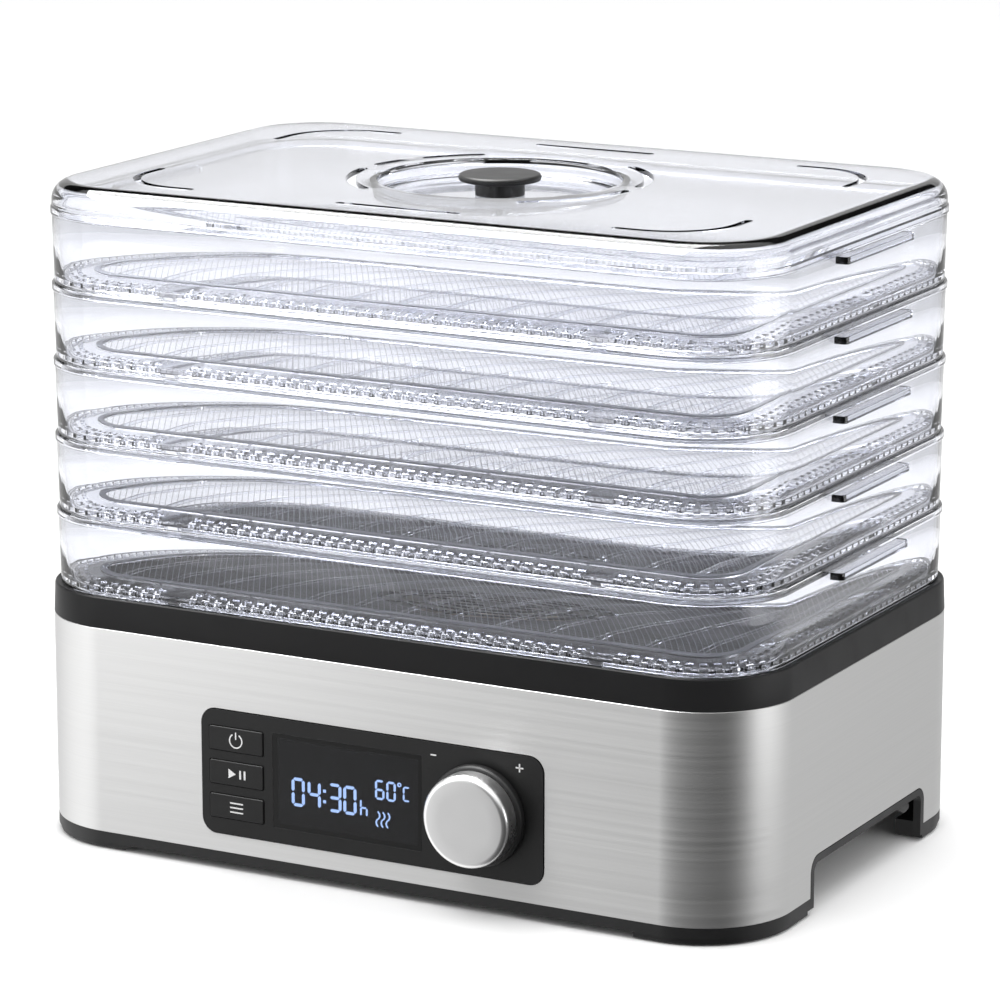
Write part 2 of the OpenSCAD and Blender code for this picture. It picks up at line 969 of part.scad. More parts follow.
// A tube with four ledges for the heater and a flat pad for the cut-out
module air_duct() {
    pad = cutout_disc_r + 1;
    color([0.75, 0.75, 0.72])
        difference() {
            union() {
                translate([0, 0, floor_top])
                    linear_extrude(height = duct_top - floor_top)
                        difference() {
                            circle(r = duct_r + duct_t);
                            circle(r = duct_r);
                        }
                for (a = [0:90:270])
                    rotate([0, 0, a])
                        translate([duct_r - 4, -4, heater_z - 3])
                            cube([5, 8, 3]);
                translate([-duct_r - duct_t - cutout_pad_t, -pad, heater_z - pad])
                    difference() {
                        cube([duct_t, 2 * pad, 2 * pad]);
                        translate([duct_r + duct_t + cutout_pad_t, pad, -1])
                            cylinder(r = duct_r + 0.5, h = 2 * pad + 2);
                    }
            }
            at_sensor()
                translate([0, 0, -5])
                    cylinder(r = sensor_r + fit_gap, h = duct_t + 6);
        }
}

module motor_bracket() {
    color("lightsteelblue")
        translate([0, 0, motor_z - bracket_t])
            linear_extrude(height = bracket_t)
                difference() {
                    union() {
                        circle(d = motor_d);
                        for (a = [45, 135])
                            rotate(a)
                                square([2 * bracket_r, 9], center = true);
                        for (a = [45:90:315])
                            rotate(a)
                                translate([bracket_r, 0])
                                    circle(r = 4.5);
                    }
                    for (a = [45:90:315])
                        rotate(a)
                            translate([bracket_r, 0])
                                circle(r = small_screw_r + press_gap, $fn = 32);
                }
}

module motor_screws() {
    color("gainsboro")
        for (a = [45:90:315])
            rotate([0, 0, a])
                translate([bracket_r, 0, motor_z]) {
                    cylinder(r = small_head_r, h = small_head_t);
                    translate([0, 0, 0.5 - small_screw_len])
                        cylinder(r = small_screw_r, h = small_screw_len);
                }
}

module fan_motor() {
    color("dimgray")
        difference() {
            union() {
                translate([0, 0, motor_z])
                    cylinder(d = motor_d, h = motor_h - 4);
                translate([0, 0, motor_z])
                    cylinder(d = motor_d - 8, h = motor_h - 1);
                translate([0, 0, motor_z])
                    cylinder(r = 6, h = motor_h);
            }
            translate([0, 0, motor_z + 6])
                cylinder(d = motor_shaft_d + 2 * running_gap, h = motor_h);
        }
}

module motor_shaft() {
    color("gainsboro")
        translate([0, 0, motor_z + 6.5])
            cylinder(d = motor_shaft_d, h = impeller_z + impeller_h - 2 - motor_z - 6.5);
}

module fan_impeller() {
    blade_len = fan_r - hub_r + 1;
    color("ivory")
        translate([0, 0, impeller_z])
            difference() {
                union() {
                    cylinder(r = hub_r, h = impeller_h);
                    intersection() {
                        difference() {
                            cylinder(r = fan_r, h = impeller_h);
                            cylinder(r = hub_r - 1, h = impeller_h);
                        }
                        for (i = [0:blade_count - 1])
                            rotate([0, 0, i * 360 / blade_count])
                                translate([hub_r - 0.5 + blade_len / 2, 0, impeller_h / 2])
                                    rotate([blade_tilt, 0, 0])
                                        cube([blade_len + 4, blade_w, blade_t], center = true);
                    }
                }
                translate([0, 0, -1])
                    cylinder(d = motor_shaft_d + 2 * press_gap, h = impeller_h - 1);
            }
}

module heater_frame() {
    color([0.85, 0.8, 0.7])
        difference() {
            for (a = [0, 90])
                rotate([0, 0, a])
                    translate([1.5 - duct_r, -mica_t / 2, heater_z])
                        cube([2 * duct_r - 3, mica_t, heater_h]);
            translate([0, 0, heater_z + heater_h - coil_notch])
                for (r = coil_turns)
                    difference() {
                        cylinder(r = r + coil_wire_r + 0.4, h = 10);
                        translate([0, 0, -1])
                            cylinder(r = r - coil_wire_r - 0.4, h = 12);
                    }
        }
}

module heater_coil() {
    color("darkorange")
        translate([0, 0, heater_z + heater_h - coil_notch + coil_wire_r])
            for (r = coil_turns)
                rotate_extrude()
                    translate([r, 0])
                        circle(r = coil_wire_r, $fn = 32);
}

module thermal_cutout() {
    color("tan")
        translate([-(duct_r + duct_t + cutout_pad_t), 0, heater_z])
            rotate([0, -90, 0]) {
                cylinder(r = cutout_disc_r, h = 5);
                cylinder(r = 3, h = 9);
            }
}

module thermal_fuse() {
    color("white")
        translate([12, (mica_t + fuse_d) / 2, heater_z + fuse_d / 2])
            rotate([0, 90, 0])
                cylinder(d = fuse_d, h = 10);
}

module temperature_sensor() {
    color("lightgray")
        at_sensor() {
            translate([0, 0, -8])
                cylinder(r = sensor_r, h = 16);
            translate([0, 0, duct_t])
                cylinder(r = 2 * sensor_r, h = 3);
        }
}

// ---- mains side ------------------------------------------------------------

module power_board() {
    color([0.05, 0.3, 0.15])
        difference() {
            translate([power_x - power_w / 2, -power_d / 2, power_z])
                cube([power_w, power_d, board_t]);
            at_power_holes()
                translate([0, 0, power_z - 1])
                    cylinder(r = small_screw_r + press_gap, h = board_t + 2);
        }
}

module power_board_screws() {
    color("gainsboro")
        at_power_holes()
            translate([0, 0, power_top]) {
                cylinder(r = small_head_r, h = small_head_t);
                translate([0, 0, 0.5 - small_screw_len])
                    cylinder(r = small_screw_r, h = small_screw_len);
            }
}

module relay() {
    color("royalblue")
        translate([power_x - relay_size[0] / 2, relay_y, power_top])
            cube(relay_size);
}

module transformer() {
    color("gold")
        translate([power_x - transformer_base[0] / 2, transformer_y, power_top]) {
            cube(transformer_base);
            translate([3, 2, 0])
                cube(transformer_core);
        }
}

module filter_capacitor() {
    color("khaki")
        translate([capacitor_x, capacitor_y, power_top])
            cube(capacitor_size);
}

module terminal_block() {
    color("seagreen")
        translate([power_x, terminal_y, power_top])
            cube(terminal_size);
}

module cord_gland() {
    color([0.1, 0.1, 0.1])
        translate([gland_x, 0, gland_z])
            rotate([-90, 0, 0])
                difference() {
                    union() {
                        translate([0, 0, gland_in])
                            cylinder(r = gland_hole_r, h = front_y - gland_in + 0.5);
                        translate([0, 0, front_y])
                            cylinder(r = gland_flange_r, h = gland_proud);
                    }
                    translate([0, 0, gland_in - 1])
                        cylinder(r = gland_bore_r, h = front_y + gland_proud - gland_in + 2);
                }
}

module gland_nut() {
    color([0.14, 0.14, 0.14])
        translate([gland_x, front_y - casing_in - 4, gland_z])
            rotate([-90, 0, 0])
                difference() {
                    cylinder(r = gland_flange_r + 1, h = 4, $fn = 6);
                    translate([0, 0, -1])
                        cylinder(r = gland_hole_r + press_gap, h = 6);
                }
}

// ---- trays -----------------------------------------------------------------

// The wall leans out towards the rim and ends in a bead
module tray_wall_2d() {
    polygon([
        [-tray_wall - tray_lean, 0],
        [-tray_lean, 0],
        [0, tray_pitch - rim_h],
        [rim_proud, tray_pitch - rim_h],
        [rim_proud, tray_pitch - 0.4],
        [rim_proud - 0.4, tray_pitch],
        [-tray_wall, tray_pitch]
    ]);
}

module grip() {
    difference() {
        round_rect(2 * (tray_w / 2 + grip_proud), grip_len, 2.5);
        square([tray_w - 2 * tray_wall, grip_len + 2], center = true);
    }
}

module tray_frame() {
    floor_top_z = tray_floor_z + tray_floor_t;
    cell = 22;
    bar = 4;
    columns = floor((net_w - 2) / cell);
    rows = floor((net_d - 2) / cell);
    pitch_x = net_w / columns;
    pitch_y = net_d / rows;
    color([0.85, 0.88, 0.95, 0.35]) {
        sweep_round(tray_w, tray_d, tray_r)
            tray_wall_2d();
        sweep_round(tray_w, tray_d, tray_r)
            polygon([
                [-nest_inset - nest_t, -nest_depth],
                [-nest_inset, -nest_depth],
                [-nest_inset, 0],
                [-tray_wall * 0.5 - tray_lean, 0],
                [-tray_wall * 0.5 - tray_lean, floor_top_z],
                [-nest_inset - nest_t, floor_top_z]
            ]);
        translate([0, 0, tray_floor_z])
            linear_extrude(height = tray_floor_t)
                difference() {
                    round_rect(tray_w - 2 * nest_inset, tray_d - 2 * nest_inset, tray_r - nest_inset);
                    for (i = [0:columns - 1], j = [0:rows - 1])
                        translate([(i + 0.5) * pitch_x - net_w / 2, (j + 0.5) * pitch_y - net_d / 2])
                            square([pitch_x - bar, pitch_y - bar], center = true);
                }
        translate([0, 0, tray_pitch - rim_h - grip_h])
            linear_extrude(height = grip_h)
                grip();
    }
}

module tray_net() {
    cell = 11;
    bar = 2.4;
    columns = floor((net_w - 8) / cell);
    rows = floor((net_d - 8) / cell);
    pitch_x = (net_w - 8) / columns;
    pitch_y = (net_d - 8) / rows;
    color([0.6, 0.62, 0.66])
        translate([0, 0, tray_floor_z + tray_floor_t])
            linear_extrude(height = net_t)
                difference() {
                    round_rect(net_w, net_d, net_r);
                    for (i = [1:columns - 2], j = [1:rows - 2])
                        translate([
                            (i + 0.5 - columns / 2) * pitch_x,
                            (j + 0.5 - rows / 2) * pitch_y
                        ])
                            square([pitch_x - bar, pitch_y - bar], center = true);
                }
}

module at_tray(n) {
    translate([0, 0, stack_z + (n - 1) * tray_pitch])
        children();
}

// ---- lid -------------------------------------------------------------------

// Wall and rounded edge of the lid, seen in section
module lid_edge_2d() {
    inner = lid_t + lid_inner_r;
    difference() {
        union() {
            translate([-lid_edge_r, 0])
                square([lid_edge_r, lid_h - lid_edge_r]);
            translate([-lid_edge_r, lid_h - lid_edge_r])
                intersection() {
                    circle(r = lid_edge_r);
                    square(lid_edge_r);
                }
        }
        translate([-lid_edge_r - 1, -1])
            square([lid_edge_r + 1 - lid_t, lid_h - inner + 1]);
        translate([-lid_edge_r - 1, -1])
            square([lid_edge_r + 1 - inner, lid_h - lid_t + 1]);
        translate([-inner, lid_h - inner])
            circle(r = lid_inner_r);
    }
}

// A curved slot centred on the x axis. Its ends are rounded a little narrower than the slot
module arc_vent(r, w, span) {
    intersection() {
        difference() {
            circle(r = r + w / 2);
            circle(r = r - w / 2);
        }
        polygon([
            [0, 0],
            [2 * r * cos(span / 2), -2 * r * sin(span / 2)],
            [2 * r * cos(span / 2), 2 * r * sin(span / 2)]
        ]);
    }
    for (a = [-span / 2, span / 2])
        rotate(a)
            translate([r, 0])
                circle(d = w - 0.4, $fn = 24);
}

// Slots that follow the lid's four corners
module corner_vents() {
    x_end = tray_w / 2 - 69;
    y_end = tray_d / 2 - 61;
    r = 28;
    w = tray_w - 2 * vent_inset_x;
    d = tray_d - 2 * vent_inset_y;
    difference() {
        round_rect(w + vent_w, d + vent_w, r + vent_w / 2);
        round_rect(w - vent_w, d - vent_w, r - vent_w / 2);
        square([2 * x_end, 2 * d], center = true);
        square([2 * w, 2 * y_end], center = true);
    }
    for (x = [-1, 1], y = [-1, 1]) {
        translate([x * x_end, y * d / 2])
            circle(d = vent_w, $fn = 24);
        translate([x * w / 2, y * y_end])
            circle(d = vent_w, $fn = 24);
    }
}

module lid_vents_2d() {
    corner_vents();
    for (y = [-1, 1])
        translate([0, y * (tray_d / 2 - vent_inset_y)])
            slot_2d(56, vent_w);
    for (a = [30, 150, 210, 330])
        rotate(a)
            arc_vent(arc_vent_r, vent_w + 0.8, 48);
}

module lid() {
    flat_w = tray_w - 2 * lid_edge_r;
    flat_d = tray_d - 2 * lid_edge_r;
    color([0.88, 0.9, 0.96, 0.35])
        difference() {
            union() {
                translate([0, 0, lid_z])
                    sweep_round(tray_w, tray_d, tray_r)
                        lid_edge_2d();
                translate([0, 0, lid_z])
                    sweep_round(tray_w, tray_d, tray_r)
                        polygon([
                            [-nest_inset - nest_t, -nest_depth],
                            [-nest_inset, -nest_depth],
                            [-nest_inset, 0],
                            [-tray_wall * 0.5, 0],
                            [-tray_wall * 0.5, 1.6],
                            [-nest_inset - nest_t, 1.6]
                        ]);
                translate([0, 0, lid_top - lid_t])
                    linear_extrude(height = lid_t)
                        round_rect(flat_w, flat_d, tray_r - lid_edge_r);
                translate([0, 0, dish_floor - lid_t])
                    cylinder(r = dish_r + lid_t, h = dish_depth + 0.5);
            }
            translate([0, 0, dish_floor])
                cylinder(r = dish_r, h = dish_depth + 5);
            translate([0, 0, lid_top - dish_depth - lid_t - 1])
                linear_extrude(height = dish_depth + lid_t + 4)
                    lid_vents_2d();
            translate([0, 0, dish_floor - lid_t - 1])
                cylinder(r = lid_knob_pilot_r + 0.6, h = lid_t + 3);
        }
}

module lid_knob() {
    knob_r = lid_knob_d / 2;
    stem_r = stem_d / 2;
    color([0.12, 0.12, 0.13])
        translate([0, 0, dish_floor])
            difference() {
                rotate_extrude()
                    polygon([
                        [0, 0],
                        [stem_r, 0],
                        [stem_r, stem_h],
                        [knob_r - 0.8, stem_h],
                        [knob_r, stem_h + 0.8],
                        [knob_r, stem_h + lid_knob_t - 1],
                        [knob_r - 1, stem_h + lid_knob_t],
                        [0, stem_h + lid_knob_t]
                    ]);
                translate([0, 0, -1])
                    cylinder(r = lid_knob_pilot_r + press_gap, h = stem_h + 1);
            }
}

module lid_knob_screw() {
    color("gainsboro")
        translate([0, 0, dish_floor - lid_t]) {
            translate([0, 0, -2])
                cylinder(r = 3.6, h = 2);
            translate([0, 0, -0.1])
                cylinder(r = lid_knob_pilot_r, h = lid_t + stem_h - 1);
        }
}

// ---- placing ---------------------------------------------------------------

module placed() {
    translate([0, footprint_shift, 0])
        children();
}

placed() steel_housing();
placed() bottom_chassis();
placed() top_deck();
placed() air_outlet_grille();
placed() rubber_feet();
placed() case_screws();
placed() control_fascia();
placed() display_window();
placed() display_module();
placed() display_segments();
placed() button_power();
placed() button_play_pause();
placed() button_menu();
placed() knob_cap();
placed() knob_skirt();
placed() encoder_shaft();
placed() encoder_body();
placed() encoder_nut();
placed() control_board();
placed() tact_switches();
placed() control_chips();
placed() control_board_screws();
placed() air_duct();
placed() fan_motor();
placed() motor_bracket();
placed() motor_screws();
placed() motor_shaft();
placed() fan_impeller();
placed() heater_frame();
placed() heater_coil();
placed() thermal_cutout();
placed() thermal_fuse();
placed() temperature_sensor();
placed() power_board();
placed() relay();
placed() transformer();
placed() filter_capacitor();
placed() terminal_block();
placed() power_board_screws();
placed() cord_gland();
placed() gland_nut();
placed() at_tray(1) tray_frame();  // tray_1_frame
placed() at_tray(1) tray_net();  // tray_1_net
placed() at_tray(2) tray_frame();  // tray_2_frame
placed() at_tray(2) tray_net();  // tray_2_net
placed() at_tray(3) tray_frame();  // tray_3_frame
placed() at_tray(3) tray_net();  // tray_3_net
placed() at_tray(4) tray_frame();  // tray_4_frame
placed() at_tray(4) tray_net();  // tray_4_net
placed() at_tray(5) tray_frame();  // tray_5_frame
placed() at_tray(5) tray_net();  // tray_5_net
placed() lid();
placed() lid_knob();
placed() lid_knob_screw();
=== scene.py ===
import json
import math

import bmesh
import bpy
from mathutils import Matrix, Vector


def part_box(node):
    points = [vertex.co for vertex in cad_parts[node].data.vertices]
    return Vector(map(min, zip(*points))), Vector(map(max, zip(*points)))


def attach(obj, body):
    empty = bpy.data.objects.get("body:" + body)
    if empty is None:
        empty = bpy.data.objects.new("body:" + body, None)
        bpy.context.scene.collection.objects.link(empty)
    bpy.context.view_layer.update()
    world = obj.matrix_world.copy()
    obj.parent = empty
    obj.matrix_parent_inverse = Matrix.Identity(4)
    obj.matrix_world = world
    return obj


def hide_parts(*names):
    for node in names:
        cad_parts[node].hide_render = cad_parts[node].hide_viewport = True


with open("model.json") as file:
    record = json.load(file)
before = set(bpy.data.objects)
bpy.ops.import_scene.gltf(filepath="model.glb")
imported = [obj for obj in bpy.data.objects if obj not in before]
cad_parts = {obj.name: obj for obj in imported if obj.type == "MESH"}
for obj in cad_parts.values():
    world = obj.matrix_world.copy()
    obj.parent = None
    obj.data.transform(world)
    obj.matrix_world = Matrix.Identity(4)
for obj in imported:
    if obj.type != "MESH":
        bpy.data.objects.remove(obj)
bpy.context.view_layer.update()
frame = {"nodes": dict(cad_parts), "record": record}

MM = 0.001

# ---- the camera, at the viewing angle of the photograph ---------------------

target = Vector((0.0, 0.0054, 0.140))
yaw, pitch, distance = math.radians(28.25), math.radians(13.277), 1.8797
back = Vector((math.sin(yaw) * math.cos(pitch), -math.cos(yaw) * math.cos(pitch), math.sin(pitch)))
cam_data = bpy.data.cameras.new("camera")
cam_data.lens = 162.8
cam_data.sensor_width = 36.0
cam_data.clip_end = 100.0
camera = bpy.data.objects.new("camera", cam_data)
camera.location = target + back * distance
camera.rotation_euler = (-back).to_track_quat("-Z", "Y").to_euler()
bpy.context.scene.collection.objects.link(camera)
bpy.context.scene.camera = camera

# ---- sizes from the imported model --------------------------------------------

steel_lo, steel_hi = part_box("steel_housing")
BODY_W = (steel_hi.x - steel_lo.x) / MM
BODY_D = (steel_hi.y - steel_lo.y) / MM
MID_Y = (steel_lo.y + steel_hi.y) / 2 / MM
FRONT = steel_lo.y / MM
STEEL_Z0, STEEL_Z1 = steel_lo.z / MM, steel_hi.z / MM
STACK_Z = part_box("top_deck")[1].z / MM          # the top of the base, where the trays start
CORNER_R = 39.0
TRAY_INSET = 2.5
TRAY_W, TRAY_D, TRAY_R = BODY_W - 2 * TRAY_INSET, BODY_D - 2 * TRAY_INSET, CORNER_R - TRAY_INSET
TRAY_COUNT = 5
TRAY_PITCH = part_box("tray_1_frame")[1].z / MM - STACK_Z
LID_Z, LID_TOP = STACK_Z + TRAY_COUNT * TRAY_PITCH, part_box("lid")[1].z / MM
LID_H = LID_TOP - LID_Z

# ---- mesh helpers -------------------------------------------------------------


def add_object(name, verts, faces, sharp=35.0):
    """A mesh object from vertices in mm, smooth except across sharp edges."""
    mesh = bpy.data.meshes.new(name)
    mesh.from_pydata([(x * MM, y * MM, z * MM) for x, y, z in verts], [], faces)
    mesh.validate()
    fix_normals(mesh)
    mesh.shade_smooth()
    mesh.set_sharp_from_angle(angle=math.radians(sharp))
    obj = bpy.data.objects.new(name, mesh)
    bpy.context.scene.collection.objects.link(obj)
    return obj


def fix_normals(mesh):
    bm = bmesh.new()
    bm.from_mesh(mesh)
    bmesh.ops.recalc_face_normals(bm, faces=bm.faces)
    bm.to_mesh(mesh)
    bm.free()


def finish_piece(obj, material, slot, body, *nodes):
    """Gives a piece its material and body, and hides the CAD nodes it stands for. The slot is not used."""
    obj.data.materials.clear()
    obj.data.materials.append(material)
    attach(obj, body)
    if nodes:
        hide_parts(*nodes)
    return obj


def stations(w, d, r, arc, nx, ny, split=None):
    """Points and outward normals round a rounded rectangle, counter-clockwise from the right side.
    split gives the share of each step at which an extra station goes in."""
    out = []

    def put(x, y, a):
        out.append((x, y, math.cos(a), math.sin(a)))

    corners = [(w / 2 - r, d / 2 - r, 0.0), (r - w / 2, d / 2 - r, 90.0),
               (r - w / 2, r - d / 2, 180.0), (w / 2 - r, r - d / 2, 270.0)]
    for k, (cx, cy, a0) in enumerate(corners):
        run = ny if k % 2 == 0 else nx
        length = (d if k % 2 == 0 else w) - 2 * r
        a = math.radians(a0)
        sx, sy = cx + r * math.cos(a), cy + r * math.sin(a)
        tx, ty = -math.sin(a), math.cos(a)
        for i in range(run):
            for s in ([0.0, split] if split else [0.0]):
                back_off = length * (1 - (i + s) / run)
                put(sx - tx * back_off, sy - ty * back_off, a)
        for i in range(arc):
            for s in ([0.0, split] if split else [0.0]):
                b = math.radians(a0 + 90.0 * (i + s) / arc)
                put(cx + r * math.cos(b), cy + r * math.sin(b), b)
    return out


def ring(st, u, z):
    """A loop of points moved outward by u from the stations."""
    return [(x + nx * u, y + ny * u + MID_Y, z) for x, y, nx, ny in st]


def circle_ring(st, r, z):
    """A loop of points on a circle, each on the same bearing as its station."""
    out = []
    for x, y, _, _ in st:
        a = math.atan2(y, x)
        out.append((r * math.cos(a), r * math.sin(a) + MID_Y, z))
    return out


def loft(name, loops, closed=True, sharp=35.0):
    """Joins loops of equal length with quads. closed joins the last loop to the first."""
    n = len(loops[0])
    verts = [p for loop in loops for p in loop]
    faces = []
    rows = len(loops) if closed else len(loops) - 1
    for j in range(rows):
        a, b = j * n, ((j + 1) % len(loops)) * n
        for i in range(n):
            k = (i + 1) % n
            faces.append((a + i, a + k, b + k, b + i))
    return add_object(name, verts, faces, sharp)


def sweep(name, profile, w, d, r, arc=20, nx=24, ny=16, sharp=35.0):
    """Carries a closed profile of (outward, height) round a rounded rectangle."""
    st = stations(w, d, r, arc, nx, ny)
    return loft(name, [ring(st, u, z) for u, z in profile], True, sharp)


def prism(name, outline, z0, z1):
    """An upright prism with its outline in x and y."""
    n = len(outline)
    verts = [(x, y, z0) for x, y in outline] + [(x, y, z1) for x, y in outline]
    faces = [tuple(range(n))[::-1], tuple(range(n, 2 * n))]
    faces += [(i, (i + 1) % n, n + (i + 1) % n, n + i) for i in range(n)]
    return add_object(name, verts, faces)


def front_prism(name, outline, y0, y1):
    """A prism with its outline in x and z, reaching from y0 to y1."""
    n = len(outline)
    verts = [(x, y0, z) for x, z in outline] + [(x, y1, z) for x, z in outline]
    faces = [tuple(range(n))[::-1], tuple(range(n, 2 * n))]
    faces += [(i, (i + 1) % n, n + (i + 1) % n, n + i) for i in range(n)]
    return add_object(name, verts, faces)


def disc(cx, cz, r, n):
    """The outline of a regular polygon that stands for a circle."""
    return [(cx + r * math.cos(math.tau * i / n), cz + r * math.sin(math.tau * i / n)) for i in range(n)]


def rounded(w, h, r, cx=0.0, cy=0.0, arc=8):
    """The outline of a rounded rectangle."""
    out = []
    for sx, sy, a0 in ((1, 1, 0), (-1, 1, 90), (-1, -1, 180), (1, -1, 270)):
        for i in range(arc + 1):
            a = math.radians(a0 + 90.0 * i / arc)
            out.append((cx + sx * (w / 2 - r) + r * math.cos(a),
                        cy + sy * (h / 2 - r) + r * math.sin(a)))
    return out


def ribbon(path, width, caps=8):
    """The outline of a strip of constant width along a path, with round ends."""
    n = len(path)
    left, right = [], []
    for i, p in enumerate(path):
        a, b = path[max(i - 1, 0)], path[min(i + 1, n - 1)]
        t = Vector((b[0] - a[0], b[1] - a[1])).normalized()
        left.append((p[0] - t.y * width / 2, p[1] + t.x * width / 2))
        right.append((p[0] + t.y * width / 2, p[1] - t.x * width / 2))

    def cap(p, q):
        t = Vector((p[0] - q[0], p[1] - q[1])).normalized()
        a0 = math.atan2(t.y, t.x)
        return [(p[0] + width / 2 * math.cos(a0 + math.pi / 2 - math.pi * i / caps),
                 p[1] + width / 2 * math.sin(a0 + math.pi / 2 - math.pi * i / caps)) for i in range(1, caps)]

    return left + cap(path[-1], path[-2]) + right[::-1] + cap(path[0], path[1])


def modify(obj, kind, **settings):
    mod = obj.modifiers.new(kind.lower(), kind)
    for key, value in settings.items():
        setattr(mod, key, value)
    return mod


def apply_modifiers(obj):
    graph = bpy.context.evaluated_depsgraph_get()
    mesh = bpy.data.meshes.new_from_object(obj.evaluated_get(graph))
    old = obj.data
    obj.modifiers.clear()
    obj.data = mesh
    bpy.data.meshes.remove(old)
    return obj


def discard(objs):
    for obj in objs:
        data = obj.data
        bpy.data.objects.remove(obj)
        bpy.data.meshes.remove(data)


def cut(obj, cutters):
    """Takes the cutters away from a piece and removes them."""
    for c in cutters:
        modify(obj, "BOOLEAN", operation="DIFFERENCE", solver="EXACT", object=c)
    bpy.context.view_layer.update()
    apply_modifiers(obj)
    discard(cutters)


def soften(obj, width, angle=40.0, segments=2, sharp=35.0):
    """Rounds the sharp edges by a small radius."""
    modify(obj, "BEVEL", width=width * MM, segments=segments, limit_method="ANGLE",
           angle_limit=math.radians(angle), use_clamp_overlap=True, harden_normals=False)
    bpy.context.view_layer.update()
    apply_modifiers(obj)
    obj.data.shade_smooth()
    obj.data.set_sharp_from_angle(angle=math.radians(sharp))
    modify(obj, "WEIGHTED_NORMAL", mode="FACE_AREA", weight=50, keep_sharp=True)
    bpy.context.view_layer.update()
    return apply_modifiers(obj)


def softened(node_name, width, material, slot, body):
    """A copy of a CAD piece with its flat faces merged and its edges eased."""
    node = frame["nodes"][node_name]
    mesh = node.data.copy()
    mesh.transform(node.matrix_world)
    bm = bmesh.new()
    bm.from_mesh(mesh)
    bmesh.ops.remove_doubles(bm, verts=bm.verts, dist=0.000002)
    bmesh.ops.dissolve_limit(bm, angle_limit=math.radians(2.0), verts=bm.verts, edges=bm.edges)
    bm.to_mesh(mesh)
    bm.free()
    obj = bpy.data.objects.new(node_name + "_eased", mesh)
    bpy.context.scene.collection.objects.link(obj)
    soften(obj, width, 40.0, 2)
    return finish_piece(obj, material, slot, body, node_name)


def lathe_y(name, profile, cx, cz, y_at, n=96, sharp=35.0):
    """Turns a profile of (radius, distance towards the front) about an axis along Y."""
    loops = []
    for r, out in profile:
        loops.append([(x, y_at - out, z) for x, z in disc(cx, cz, r, n)])
    return loft(name, loops, True, sharp)


def lathe_z(name, profile, cx, cy, n=96, sharp=35.0):
    """Turns a profile of (radius, height) about an upright axis."""
    loops = [[(x, y, z) for x, y in disc(cx, cy, r, n)] for r, z in profile]
    return loft(name, loops, True, sharp)


def join(name, objs, sharp=35.0):
    """Merges pieces of one moulding into one mesh."""
    bm = bmesh.new()
    for o in objs:
        bm.from_mesh(o.data)
    mesh = bpy.data.meshes.new(name)
    bm.to_mesh(mesh)
    bm.free()
    discard(objs)
    mesh.shade_smooth()
    mesh.set_sharp_from_angle(angle=math.radians(sharp))
    obj = bpy.data.objects.new(name, mesh)
    bpy.context.scene.collection.objects.link(obj)
    return obj


# ---- materials ------------------------------------------------------------------


class Nodes:
    """A small helper that adds nodes to a material and links them."""

    def __init__(self, name):
        self.mat = bpy.data.materials.new(name)
        self.mat.use_nodes = True
        self.tree = self.mat.node_tree
        self.shader = self.tree.nodes["Principled BSDF"]

    def add(self, kind, **values):
        node = self.tree.nodes.new(kind)
        for key, value in values.items():
            if key in node.inputs:
                node.inputs[key].default_value = value
            else:
                setattr(node, key, value)
        return node

    def link(self, a, b):
        self.tree.links.new(a, b)

    def coords(self, scale):
        tex = self.add("ShaderNodeTexCoord")
        mapping = self.add("ShaderNodeMapping", Scale=scale)
        self.link(tex.outputs["Object"], mapping.inputs["Vector"])
        return mapping.outputs["Vector"]

    def noise(self, scale, detail=3.0, stretch=(1, 1, 1)):
        node = self.add("ShaderNodeTexNoise", Scale=scale, Detail=detail)
        self.link(self.coords(stretch), node.inputs["Vector"])
        return node.outputs["Fac"]

    def to_range(self, value, low, high, start=0.3, end=0.7):
        node = self.add("ShaderNodeMapRange")
        node.inputs["From Min"].default_value = start
        node.inputs["From Max"].default_value = end
        node.inputs["To Min"].default_value = low
        node.inputs["To Max"].default_value = high
        self.link(value, node.inputs["Value"])
        return node.outputs["Result"]

    def blend(self, value, dark, light):
        node = self.add("ShaderNodeMix", data_type="RGBA")
        self.link(value, node.inputs["Factor"])
        for socket in node.inputs:
            if socket.type == "RGBA" and not socket.is_linked:
                socket.default_value = (*dark, 1) if socket.name == "A" else (*light, 1)
        return [s for s in node.outputs if s.type == "RGBA"][0]

    def bump(self, value, distance, strength=1.0):
        node = self.add("ShaderNodeBump", Strength=strength, Distance=distance)
        self.link(value, node.inputs["Height"])
        self.link(node.outputs["Normal"], self.shader.inputs["Normal"])


def tint(color, k):
    """A colour made lighter or darker by a factor."""
    return tuple(min(1.0, c * k) for c in color)


def plain(name, color, rough=0.45, metal=0.0, grain=900.0, depth=0.00001, vary=0.08, wear=0.06, **sockets):
    """A moulded or cast surface: a fine grain in the bump, and slow changes in tone and gloss."""
    m = Nodes(name)
    slow = m.noise(22.0, 4.0)
    m.link(m.blend(slow, tint(color, 1 - vary), tint(color, 1 + vary)), m.shader.inputs["Base Color"])
    m.link(m.to_range(m.noise(60.0, 3.0), rough - wear, rough + wear), m.shader.inputs["Roughness"])
    m.shader.inputs["Metallic"].default_value = metal
    if depth:
        m.bump(m.noise(grain, 2.0), depth)
    for key, value in sockets.items():
        m.shader.inputs[key.replace("_", " ")].default_value = value
    return m.mat


